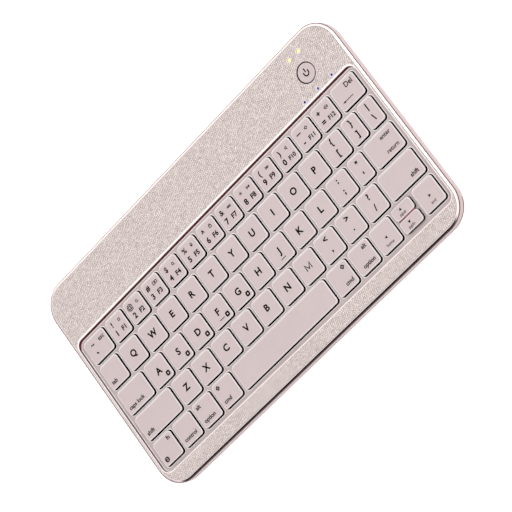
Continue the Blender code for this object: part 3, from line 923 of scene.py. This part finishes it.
def make_cap(name):
    """A hollow cap with a soft top edge and a band inside it painted pale as highlight, a shallow dish, a
    skirt painted near-black as shadow, and its legend.
    """
    centre, half = CAPS[name]
    shape = Shape(CAP, CAP_HIGHLIGHT, SHADOW, INK)
    run = 0.8 * min(half)
    flange_top = CAP_LOW.z + FLANGE_THICKNESS
    skirt = [(CAP_WALL, CAP_HIGH.z - CAP_ROOF), (CAP_WALL, CAP_LOW.z), (-FLANGE, CAP_LOW.z),
             (-FLANGE, flange_top), (0.0, flange_top), (0.0, CAP_HIGH.z - CAP_EDGE)]
    edge = arc_stations(CAP_EDGE, CAP_HIGH.z - CAP_EDGE, CAP_EDGE, 0, 90, 5)[1:]
    insets = [CAP_HIGHLIGHT_WIDTH] + [run * share for share in (0.25, 0.4, 0.6, 0.8, 1.0)]
    top = [(inset, CAP_HIGH.z - dish(inset, run)) for inset in insets]
    loops = []
    for inset, height in skirt + edge + top:
        size = (half[0] - inset, half[1] - inset)
        radius = max(CAP_CORNER - 0.6 * inset, 0.15 * min(size))
        outline = rounded((0, 0), size, min(radius, min(size) * 0.95), CAP_CORNER_STEPS)
        loops.append(shape.loop(outline, height))
    shape.face(loops[0], SHADOW)
    # The skirt strips are painted near-black as shadow, the soft edge and a band inside it pale as highlight.
    for number, (a, b) in enumerate(zip(loops, loops[1:])):
        on_edge = number < len(skirt) + len(edge)
        shape.strip(a, b, SHADOW if number < len(skirt) - 1 else CAP_HIGHLIGHT if on_edge else CAP)
    shape.face(loops[-1], CAP)

    def top_height(x, y):
        return CAP_HIGH.z - dish(min(half[0] - abs(x), half[1] - abs(y)), run)

    print_legend(Legend(shape, top_height), name, (half[0] / MM, half[1] / MM))
    node = home_node(name)
    shape.piece(name + "_cap", node + "_body", "keycap", node, at=(*centre, 0), sharp=35.0)


# ---------------- shells

def grain(x, y):
    """Crease depth (0 to 1) and each pebble's own tone (-1 to 1), for long pebbles lying aslant."""
    reach = math.hypot(*SLAB_HALF)
    columns = int(2 * reach / GRAIN_LENGTH) + 6
    rows = int(2 * reach / GRAIN_WIDTH) + 6
    draws = np.random.default_rng(GRAIN_SEED)
    jitter = draws.uniform(0.2, 0.8, (columns, rows, 2))
    rise = draws.uniform(-1.0, 1.0, (columns, rows))
    along = x * math.cos(GRAIN_TURN) + y * math.sin(GRAIN_TURN)
    across = y * math.cos(GRAIN_TURN) - x * math.sin(GRAIN_TURN)
    u = (along + reach) / GRAIN_LENGTH + 2
    v = (across + reach) / GRAIN_WIDTH + 2
    i, j = np.floor(u).astype(int), np.floor(v).astype(int)
    nearest = np.full(len(u), 9.0)
    second = np.full(len(u), 9.0)
    own = np.zeros(len(u))
    for di in (-1, 0, 1):
        for dj in (-1, 0, 1):
            a = np.clip(i + di, 0, columns - 1)
            b = np.clip(j + dj, 0, rows - 1)
            d = np.hypot(u - a - jitter[a, b, 0], v - b - jitter[a, b, 1])
            closer = d < nearest
            second = np.where(closer, nearest, np.minimum(second, d))
            own = np.where(closer, rise[a, b], own)
            nearest = np.where(closer, d, nearest)
    return np.exp(-((second - nearest) / CREASE_WIDTH) ** 2), own


def make_top_frame():
    """The upper shell: grained top face, groove, polished chamfer, walls, key well and holes."""
    shape = Shape(SKIN, HIGHLIGHT_LIP, POLISH, LINE_AND_SHADE, SHELL, REAR_WELL_SHADE, SIDE_WELL_SHADE, SHADOW, LILAC)
    spacing = 1.2 * MM
    top = FRAME_HIGH.z
    low = max(FRAME_LOW.z, PARTING_Z)
    border = CHAMFER_WIDTH + GROOVE_WIDTH
    slope = CHAMFER_HEIGHT / CHAMFER_WIDTH
    stations = [
        (border, top, SKIN),
        # The groove is painted dark as shade in the recess.
        (CHAMFER_WIDTH + GROOVE_WIDTH * 0.7, top - GROOVE_DEPTH, LINE_AND_SHADE),
        (CHAMFER_WIDTH + GROOVE_WIDTH * 0.5, top - GROOVE_DEPTH, LINE_AND_SHADE),
        # The lip beside the chamfer is painted pale as highlight.
        (CHAMFER_WIDTH + 0.05 * MM, top, HIGHLIGHT_LIP),
        (CHAMFER_WIDTH - LIP_WIDTH * 0.5, top - LIP_WIDTH * 0.5 * slope * 0.5, HIGHLIGHT_LIP),
        (CHAMFER_WIDTH * 0.5, top - CHAMFER_HEIGHT * 0.5, POLISH),
        (EDGE_LINE, top - CHAMFER_HEIGHT + EDGE_LINE * slope, POLISH),
        # A thin dark band along the chamfer's outer edge.
        (0.06 * MM, top - CHAMFER_HEIGHT, LINE_AND_SHADE),
        (0.0, top - CHAMFER_HEIGHT - 0.08 * MM, LINE_AND_SHADE),
        (0.0, low + 0.08 * MM, SHELL),
        (0.08 * MM, low, SHELL),
        (WALL, low, SHADOW),
    ]
    rim = subdivide(rounded(*SLAB_OUTLINE), spacing)
    outer = []
    for inset, height, _ in stations:
        outer.append(shape.loop(inset_line(rim, *SLAB_OUTLINE, inset), height))
    for (a, b), (_, _, finish) in zip(zip(outer, outer[1:]), stations[1:]):
        shape.strip(a, b, finish)

    well_line = subdivide(rounded(*WELL_OUTLINE, 10), spacing)
    floor_z = WEB_HIGH.z + 0.02 * MM
    rear_wall_y = WELL_CENTRE[1] + WELL_HALF[1] - WELL_CORNER * 0.7
    ledge_z = floor_z + 0.04 * MM
    foot = WELL_REAR_OVERHANG + WELL_REAR_SLOPE
    # The well's top lip and its floor ledge are painted pale as highlight.
    well_stations = [
        (-WELL_LIP, top, 0.0, SKIN), (-0.1 * MM, top - 0.03 * MM, WELL_REAR_OVERHANG, HIGHLIGHT_LIP),
        (0.0, top - WELL_LIP_DROP, WELL_REAR_OVERHANG, HIGHLIGHT_LIP), (0.0, ledge_z, foot, REAR_WELL_SHADE),
        (WELL_LEDGE, ledge_z, foot, HIGHLIGHT_LIP), (WELL_LEDGE, floor_z, foot, HIGHLIGHT_LIP),
        (-WELL_SKIRT, floor_z, 0.0, SHADOW), (-WELL_SKIRT, low, 0.0, SHADOW),
    ]
    well = []
    for inset, height, lean, _ in well_stations:
        line = [(x, leaning_rear(y, lean)) for x, y in inset_line(well_line, *WELL_OUTLINE, inset)]
        well.append(shape.loop(line, height))
    for (a, b), (_, _, _, finish) in zip(zip(well, well[1:]), well_stations[1:]):
        # The rear wall gets the darker painted shade, the side walls a lighter copy of it.
        if finish == REAR_WELL_SHADE:
            shape.strip_by_place(a, b, lambda x, y: REAR_WELL_SHADE if y > rear_wall_y else SIDE_WELL_SHADE)
        else:
            shape.strip(a, b, finish)

    holes = [(BUTTON_CENTRE, BUTTON_RADIUS + BUTTON_GAP, 72, BUTTON_RIM, SHADOW)]
    for x, y, radius in light_places():
        # The amber lights' rims are painted pale as highlight.
        rim_finish = LILAC if radius == LOCK_LIGHT_RADIUS else HIGHLIGHT_LIP
        holes.append(((x, y), radius + LIGHT_GAP, 24, LIGHT_RIM, rim_finish))
    upper, lower = [], []
    for centre, radius, steps, rim_width, rim_finish in holes:
        a = shape.loop(circle(centre, radius + rim_width, steps), top)
        b = shape.loop(circle(centre, radius, steps), top - RIM_DROP)
        c = shape.loop(circle(centre, radius, steps), low)
        shape.strip(a, b, rim_finish)
        shape.strip(b, c, SHADOW)
        upper.append(a)
        lower.append(c)

    edge_half = (SLAB_HALF[0] - border, SLAB_HALF[1] - border)
    edge_corner = SLAB_CORNER - border
    well_half = (WELL_HALF[0] + WELL_LIP, WELL_HALF[1] + WELL_LIP)

    def clearance(x, y):
        """Distance to the nearest border of the top face."""
        d = -rounded_distance(x, y, (0, 0), edge_half, edge_corner)
        d = np.minimum(d, rounded_distance(x, y, WELL_CENTRE, well_half, WELL_CORNER + WELL_LIP))
        for centre, radius, _, rim_width, _ in holes:
            d = np.minimum(d, np.hypot(x - centre[0], y - centre[1]) - radius - rim_width)
        return d

    xs = np.arange(-SLAB_HALF[0], SLAB_HALF[0], GRAIN_SPACING)
    ys = np.arange(-SLAB_HALF[1], SLAB_HALF[1], GRAIN_SPACING * 0.87)
    gx, gy = np.meshgrid(xs, ys)
    gx = gx + (np.arange(len(ys)) % 2)[:, None] * GRAIN_SPACING / 2
    gx, gy = gx.ravel(), gy.ravel()
    d = clearance(gx, gy)
    chosen = d > GRAIN_SPACING * 0.6
    gx, gy, d = gx[chosen], gy[chosen], d[chosen]
    fade = eased(np.clip(d / GRAIN_FADE, 0, 1))
    crease, own = grain(gx, gy)
    heights = top + GRAIN_DEPTH * (PEBBLE_RISE * own - crease) * fade
    # Each pebble's own random tone, plus painted highlight on the pebbles and painted shade in the creases.
    tones_and_light = PLAIN_TONE + (PEBBLE_HIGHLIGHT + OWN_TONE * own - CREASE_SHADE * crease) * fade
    first = len(shape.points)
    shape.points += list(zip(gx.tolist(), gy.tolist(), heights.tolist()))
    extra = range(first, len(shape.points))
    shape.region(outer[0], [well[0]] + upper, SKIN, lambda x, y: clearance(x, y) > -0.01 * MM, extra)

    skirt_half = (WELL_HALF[0] + WELL_SKIRT, WELL_HALF[1] + WELL_SKIRT)

    def underside(x, y):
        inside = rounded_distance(x, y, WELL_CENTRE, skirt_half, WELL_CORNER + WELL_SKIRT) > 0
        for centre, radius, *_ in holes:
            inside &= np.hypot(x - centre[0], y - centre[1]) > radius * 0.99
        return inside

    shape.region(outer[-1], [well[-1]] + lower, SHADOW, underside)
    shell = shape.piece("top_shell", "slab", "grained_top", "top_frame", sharp=22.0)
    tone = shell.data.attributes.new(GRAIN_TONE_AND_LIGHT, "FLOAT", "POINT")
    values = np.full(len(shape.points), PLAIN_TONE)
    values[first:first + len(tones_and_light)] = tones_and_light
    tone.data.foreach_set("value", values)


def leaning_rear(y, lean):
    """A place on the well's wall, which leans in at the rear and is upright at the front."""
    front = WELL_CENTRE[1] - WELL_HALF[1]
    return y - lean * (y - front) / (2 * WELL_HALF[1])


def inset_line(line, centre, half, radius, inset):
    """A rounded rectangle's outline drawn in by inset, point for point."""
    share = (radius - inset) / radius
    straight = (half[0] - radius, half[1] - radius)
    made = []
    for point in line:
        moved = []
        for place, middle, run in zip(point, centre, straight):
            corner = middle + math.copysign(run, place - middle)
            moved.append(corner + (place - corner) * share if abs(place - middle) > run else place)
        made.append(tuple(moved))
    return made


def light_places():
    """Centre and pin radius of every indicator, from the light guides' boxes."""
    made = []
    for node, count, radius in (("charge_light_guide", 2, CHARGE_LIGHT_RADIUS),
                                ("lock_light_guide", 3, LOCK_LIGHT_RADIUS)):
        low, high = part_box(node)
        y = (low.y + high.y) / 2 if count == 2 else low.y + LOCK_LIGHT_SETBACK
        for i in range(count):
            x = low.x + LIGHT_MARGIN + (high.x - low.x - 2 * LIGHT_MARGIN) * i / (count - 1)
            made.append((x, y, radius))
    return made


def make_light_guides():
    places = light_places()
    for node, finish, slot, own in (("charge_light_guide", AMBER, "amber_light", places[:2]),
                                    ("lock_light_guide", BLUE, "blue_light", places[2:])):
        low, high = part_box(node)
        shape = Shape(finish)
        middle, half = plan(low, high)
        bar_top = low.z + LIGHT_BAR_HEIGHT
        lofted(shape, middle, half, 0.3 * MM, [(0.1 * MM, low.z), (0, low.z + 0.1 * MM),
                                              (0, bar_top - 0.1 * MM), (0.1 * MM, bar_top)], finish, 3)
        for x, y, radius in own:
            dome_z = high.z - radius * LENS_FLATTENING
            profile = [(radius, bar_top - 0.02 * MM)]
            profile += [(-inset, dome_z + (z - dome_z) * LENS_FLATTENING)
                        for inset, z in arc_stations(0, dome_z, radius, 0, 80, 6)]
            turned(shape, (x, y), profile, 24, finish)
        shape.piece(node.replace("guide", "lenses"), "slab", slot, node, sharp=50.0)


def make_key_web():
    """The flat grille between the keys, each window's edge painted pale as highlight and its inner wall
    painted near-black as shadow.
    """
    shape = Shape(WEB, HIGHLIGHT_LIP, SHADOW, ROSE)
    half = (WELL_HALF[0] + WELL_SKIRT, WELL_HALF[1] + WELL_SKIRT)
    outline = rounded(WELL_CENTRE, half, WELL_CORNER + WELL_SKIRT, 10)
    top = shape.loop(outline, WEB_HIGH.z)
    bottom = shape.loop(outline, WEB_LOW.z)
    shape.strip(top, bottom, WEB)
    windows = []
    upper, lower = [], []
    for name, (centre, size) in CAPS.items():
        slim = name in ("up_arrow", "down_arrow")
        gap, highlight_rim = (SLIM_WINDOW_GAP, SLIM_WINDOW_HIGHLIGHT) if slim else (WINDOW_GAP, WINDOW_HIGHLIGHT)
        window = (size[0] + gap[0], size[1] + gap[1])
        corner = CAP_CORNER + gap[0]
        wide = (window[0] + highlight_rim, window[1] + highlight_rim)
        windows.append((centre, window, corner, highlight_rim))
        line = rounded(centre, window, corner, 6)
        a = shape.loop(rounded(centre, wide, corner + highlight_rim, 6), WEB_HIGH.z)
        b = shape.loop(line, WEB_HIGH.z - 0.05 * MM)
        c = shape.loop(line, WEB_LOW.z)
        shape.strip(a, b, HIGHLIGHT_LIP)
        shape.strip(b, c, SHADOW)
        upper.append(a)
        lower.append(c)

    def outside_windows(x, y, with_highlight_rims):
        inside = np.ones(len(x), bool)
        for centre, window, corner, highlight_rim in windows:
            grown = highlight_rim if with_highlight_rims else 0.0
            size = (window[0] + grown, window[1] + grown)
            inside &= rounded_distance(x, y, centre, size, corner + grown) > 0
        return inside

    shape.region(top, upper, WEB, lambda x, y: outside_windows(x, y, True))
    shape.region(bottom, lower, SHADOW, lambda x, y: outside_windows(x, y, False))
    add_arrow_rib(shape)
    shape.piece("web_plate", "slab", "key_web", "key_web", sharp=30.0)


def add_arrow_rib(shape):
    """The rose rib in the narrow gap between the up and down arrows."""
    (x, low_y), (half_x, half_y) = CAPS["down_arrow"]
    high_y = CAPS["up_arrow"][0][1]
    middle = (x, (low_y + half_y + high_y - half_y) / 2)
    profile = [(0, WEB_HIGH.z + 0.01 * MM), (0, CAP_HIGH.z - 0.45 * MM), (0.05 * MM, CAP_HIGH.z - 0.4 * MM)]
    lofted(shape, middle, (half_x - CAP_CORNER * 0.6, RIB_WIDTH / 2), RIB_WIDTH * 0.3, profile, ROSE, 3)


def make_bottom_cover():
    """The lower shell: soft bottom edge, thin walls, a floor and a notch for the socket."""
    shape = Shape(SHELL, LINE_AND_SHADE, SHADOW)
    rounding = 1.2 * MM
    profile = arc_stations(rounding, COVER_LOW.z + rounding, rounding, -90, 0, 9)
    profile.append((0.0, COVER_LOW.z + rounding + 0.7 * MM))
    # Along the front only, the upper part of the bottom rounding is painted dark as shade.
    front_shade_stations = range(6, 10)
    front_shade_end_y = -SLAB_HALF[1] + SLAB_CORNER * 0.6
    profile += [(0.0, COVER_HIGH.z - 0.12 * MM), (0.12 * MM, COVER_HIGH.z), (WALL, COVER_HIGH.z),
                (WALL, COVER_LOW.z + 1.0 * MM)]
    rim = subdivide(rounded(*SLAB_OUTLINE), 4.0 * MM)
    loops = [shape.loop(inset_line(rim, *SLAB_OUTLINE, inset), height) for inset, height in profile]
    for number, (a, b) in enumerate(zip(loops, loops[1:])):
        if number in front_shade_stations:
            shape.strip_by_place(a, b, lambda x, y: LINE_AND_SHADE if y < front_shade_end_y else SHELL)
        else:
            shape.strip(a, b, SHADOW if number >= len(profile) - 3 else SHELL)
    shape.face(loops[0], SHELL)
    shape.face(loops[-1], SHADOW)
    cover = shape.piece("bottom_shell", "slab", "shell", "bottom_cover", sharp=30.0)
    notch = Shape(SHADOW)
    middle_x = (SOCKET_LOW.x + SOCKET_HIGH.x) / 2
    half = ((SOCKET_HIGH.x - SOCKET_LOW.x) / 2 + 0.2 * MM, 4.0 * MM)
    lofted(notch, (middle_x, SLAB_HALF[1]), half, 0.3 * MM,
           [(0, SOCKET_LOW.z - 0.2 * MM), (0, COVER_HIGH.z + 2 * MM)], SHADOW, 4)
    cutter = linked("notch_cutter", notch.mesh("notch_cutter"))
    modifier = cover.modifiers.new("notch", "BOOLEAN")
    modifier.operation = "DIFFERENCE"
    modifier.solver = "EXACT"
    modifier.object = cutter
    bpy.context.view_layer.update()
    cut = bpy.data.meshes.new_from_object(cover.evaluated_get(bpy.context.evaluated_depsgraph_get()))
    cover.modifiers.clear()
    cover.data = cut
    bpy.data.objects.remove(cutter)


def make_feet():
    for side in ("front", "rear"):
        node = side + "_foot_strip"
        low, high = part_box(node)
        middle, half = plan(low, high)
        shape = Shape(RUBBER)
        soft = 0.2 * MM
        profile = arc_stations(soft, low.z + soft, soft, -90, 0, 4) + [(0.0, high.z)]
        lofted(shape, middle, half, half[1] * 0.98, profile, RUBBER, 10)
        shape.piece(side + "_foot", "slab", "foot_rubber", node, sharp=40.0)


def make_power_button():
    """A round button with a soft edge and the usual power sign."""
    shape = Shape(CAP, SHADOW, INK)
    top, edge = BUTTON_HIGH.z, 0.22 * MM
    flange_low = BUTTON_LOW.z + 0.1 * MM
    flange_radius = BUTTON_HALF[0]
    profile = [
        (BUTTON_STEM_RADIUS, BUTTON_LOW.z), (BUTTON_STEM_RADIUS, flange_low),
        (flange_radius, flange_low), (flange_radius, flange_low + BUTTON_FLANGE),
        (BUTTON_RADIUS, flange_low + BUTTON_FLANGE), (BUTTON_RADIUS, top - edge),
    ]
    soft = [(BUTTON_RADIUS - inset, height)
            for inset, height in arc_stations(edge, top - edge, edge, 0, 90, 5)[1:]]
    dished = [(BUTTON_RADIUS * share, top - BUTTON_DISH * (1 - share ** 2)) for share in (0.85, 0.6, 0.3)]
    loops = [shape.loop(circle((0, 0), radius, 72), height) for radius, height in profile + soft + dished]
    shape.face(loops[0], SHADOW)
    for number, (a, b) in enumerate(zip(loops, loops[1:])):
        shape.strip(a, b, SHADOW if number < len(profile) - 1 else CAP)
    shape.face(loops[-1], CAP)

    def top_height(x, y):
        return top - BUTTON_DISH * (1 - (x * x + y * y) / BUTTON_RADIUS ** 2)

    ink = Legend(shape, top_height)
    arm, sweep = 1.57, 0.74
    ink.stroke([(arm, 1.1)] + arc(0, -0.1, arm, 0, -180, 16) + [(-arm, 1.1)], sweep)
    ink.stroke([(0, 2.9), (0, 0.45)], sweep)
    shape.piece("power_button_cap", "power_button_body", "power_button", "power_button",
                at=(*BUTTON_CENTRE, 0), sharp=35.0)


def make_charge_socket():
    """A drawn steel mouth with rounded corners, and a tongue with gold contacts inside."""
    shape = Shape(STEEL, SHADOW, GOLD)
    middle_x = (SOCKET_LOW.x + SOCKET_HIGH.x) / 2
    middle_z = (SOCKET_LOW.z + SOCKET_HIGH.z) / 2
    half = ((SOCKET_HIGH.x - SOCKET_LOW.x) / 2, (SOCKET_HIGH.z - SOCKET_LOW.z) / 2)
    rear, front, wall = SOCKET_HIGH.y, SOCKET_LOW.y, 0.32 * MM

    def ring(inset, y):
        size = (half[0] - inset, half[1] - inset)
        outline = rounded((middle_x, middle_z), size, max(0.9 * MM - inset, 0.3 * MM), 6)
        first = len(shape.points)
        shape.points.extend((x, y, z) for x, z in outline)
        return list(range(first, len(shape.points)))

    soft = 0.08 * MM
    loops = [ring(0.0, front), ring(0.0, rear - soft), ring(soft, rear), ring(wall - soft, rear),
             ring(wall, rear - soft), ring(wall, front + wall)]
    for a, b in zip(loops, loops[1:]):
        shape.strip(a, b, STEEL)
    shape.face(loops[0], STEEL)
    shape.face(loops[-1], SHADOW)
    tongue_half = (half[0] * 0.46, 0.33 * MM)
    box_solid(shape, (middle_x, (front + rear) / 2 - 0.4 * MM, middle_z + 0.25 * MM),
              (tongue_half[0], (rear - front) / 2 - 1.2 * MM, tongue_half[1]), SHADOW)
    for i in range(5):
        x = middle_x + (i - 2) * tongue_half[0] * 0.38
        contact_z = middle_z + 0.25 * MM - tongue_half[1] - 0.03 * MM
        box_solid(shape, (x, (front + rear) / 2 - 0.1 * MM, contact_z),
                  (0.13 * MM, (rear - front) / 2 - 1.6 * MM, 0.04 * MM), GOLD)
    shape.piece("socket_shell", "slab", "socket_steel", "charge_socket", sharp=35.0)


def box_solid(shape, middle, half, finish):
    """A small box added to a shape."""
    outline = square_points(*middle[:2], *half[:2])
    loops = [shape.loop(outline, middle[2] + side * half[2]) for side in (-1, 1)]
    closed_skin(shape, loops, finish)


# ---------------- rubber domes

DOME_FOOT = 2.2 * MM
DOME_TIP = 1.3 * MM
DOME_STEPS = 16
SHEET_THICKNESS = 0.15 * MM


def dome_solid(shape, centre, foot_z):
    """One collapsible dome: a soft skirt, a stem and a flat tip."""
    top = DOME_HIGH.z
    rise = top - foot_z
    profile = [
        (DOME_FOOT, foot_z), (DOME_FOOT * 0.97, foot_z + rise * 0.12),
        (DOME_FOOT * 0.8, foot_z + rise * 0.5), (DOME_TIP * 1.02, foot_z + rise * 0.66),
        (DOME_TIP, foot_z + rise * 0.94), (DOME_TIP * 0.9, top),
    ]
    turned(shape, centre, profile, DOME_STEPS, SILICONE)


def make_domes():
    """The moulded sheet, and on it one group of domes for each key body."""
    sheet = Shape(SILICONE)
    sheet_top = DOME_LOW.z + SHEET_THICKNESS
    lofted(sheet, WELL_CENTRE, WELL_HALF, WELL_CORNER, [(0, DOME_LOW.z), (0, sheet_top)], SILICONE, 6)
    sheet.piece("dome_base", "slab", "silicone", "dome_sheet", sharp=30.0)
    groups = {}
    for name, (centre, _) in CAPS.items():
        groups.setdefault(home_node(name), []).append(centre)
    foot = sheet_top + 0.01 * MM
    for node, centres in groups.items():
        shape = Shape(SILICONE)
        for centre in centres:
            dome_solid(shape, centre, foot)
        made = shape.piece(node + "_domes", "slab", "silicone", "dome_sheet", sharp=40.0)
        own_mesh(made)


# ---------------- the whole object

def dress_inner_nodes():
    """The hidden CAD solids keep their shapes and get their own finishes."""
    for node, finish in (("membrane_sheet", FILM), ("support_plate", STEEL),
                         ("circuit_board", BOARD), ("battery", POUCH)):
        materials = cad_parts[node].data.materials
        materials.clear()
        materials.append(finish)


FLOOR_GLOW = 0.45
FLOOR_SIZE = 8.0


def make_floor():
    """A pale, even floor, lit a little from within as on a light table."""
    bpy.ops.mesh.primitive_plane_add(size=FLOOR_SIZE, location=(0, 0, -0.02 * MM))
    floor = bpy.context.object
    floor.name = "floor"
    finish, _, shader = new_material("pale_floor", (0.93, 0.93, 0.93), 0.9, specular=0.0)
    shader.inputs["Emission Color"].default_value = (1.0, 1.0, 1.0, 1.0)
    shader.inputs["Emission Strength"].default_value = FLOOR_GLOW
    floor.data.materials.append(finish)


KEY_LIGHT_SIZE = 0.9
KEY_LIGHT_POWER = 5.0
KEY_LIGHT_PLACE = Vector((0.25, 0.5, 1.3))


def make_key_light():
    """One soft lamp over the rear edge, aimed at the middle of the slab."""
    light = bpy.data.lights.new("key_light", "AREA")
    light.size = KEY_LIGHT_SIZE
    light.energy = KEY_LIGHT_POWER
    made = linked("key_light", light)
    made.location = KEY_LIGHT_PLACE
    made.rotation_euler = (-KEY_LIGHT_PLACE).to_track_quat("-Z", "Y").to_euler()


DARK_SIDE = Vector((-0.47, -0.46, 0.76)).normalized()
DIM_SIDE = Vector((-0.93, 0.25, 0.22)).normalized()
SURROUND = 1.26
DARK_LEFT = 0.02
DIM_LEFT = 0.4


def flag(tree, direction, start, end, bright, dimmed):
    """Brightness that falls from bright to dimmed as a direction nears the flag's."""
    coords = add(tree, "ShaderNodeTexCoord")
    towards = add(tree, "ShaderNodeVectorMath")
    towards.operation = "DOT_PRODUCT"
    towards.inputs[1].default_value = direction
    tree.links.new(coords.outputs["Generated"], towards.inputs[0])
    return mapped(tree, towards.outputs["Value"], (start, end), (bright, dimmed), "SMOOTHSTEP")


def make_studio():
    """A bright, even surround with a dark flag and a dim one on the left, and a soft lamp."""
    world = bpy.data.worlds.new("studio")
    bpy.context.scene.world = world
    world.use_nodes = True
    tree = world.node_tree
    background = tree.nodes["Background"]
    background.inputs["Color"].default_value = (1.0, 1.0, 1.0, 1.0)
    both = add(tree, "ShaderNodeMath")
    both.operation = "MULTIPLY"
    tree.links.new(flag(tree, DARK_SIDE, 0.84, 0.95, SURROUND, DARK_LEFT), both.inputs[0])
    tree.links.new(flag(tree, DIM_SIDE, 0.80, 0.95, 1.0, DIM_LEFT), both.inputs[1])
    tree.links.new(both.outputs["Value"], background.inputs["Strength"])
    make_key_light()


CAMERA_AZIMUTH = math.radians(57.054)
CAMERA_ELEVATION = math.radians(57.433)
CAMERA_ROLL = math.radians(-97.551)
CAMERA_DISTANCE = 1.41907
CAMERA_LENS = 185.09
CAMERA_SENSOR = 36.0
CAMERA_TARGET = Vector((0.00628, -0.00348, 0.0057))


def make_camera():
    camera = bpy.data.cameras.new("camera")
    camera.lens = CAMERA_LENS
    camera.sensor_width = CAMERA_SENSOR
    camera.clip_start = 0.05
    made = linked("camera", camera)
    flat = math.cos(CAMERA_ELEVATION)
    back = Vector((math.sin(CAMERA_AZIMUTH) * flat, -math.cos(CAMERA_AZIMUTH) * flat,
                   math.sin(CAMERA_ELEVATION)))
    level = Vector((math.cos(CAMERA_AZIMUTH), math.sin(CAMERA_AZIMUTH), 0))
    right = level * math.cos(CAMERA_ROLL) + back.cross(level) * math.sin(CAMERA_ROLL)
    turn = Matrix((right, back.cross(right), back)).transposed().to_4x4()
    made.matrix_world = Matrix.Translation(CAMERA_TARGET + back * CAMERA_DISTANCE) @ turn
    bpy.context.scene.camera = made


make_camera()
make_studio()
make_floor()
make_top_frame()
make_bottom_cover()
make_key_web()
make_light_guides()
make_power_button()
make_charge_socket()
make_feet()
make_domes()
for cap_name in CAPS:
    make_cap(cap_name)
dress_inner_nodes()
bpy.context.scene.view_settings.view_transform = "Standard"
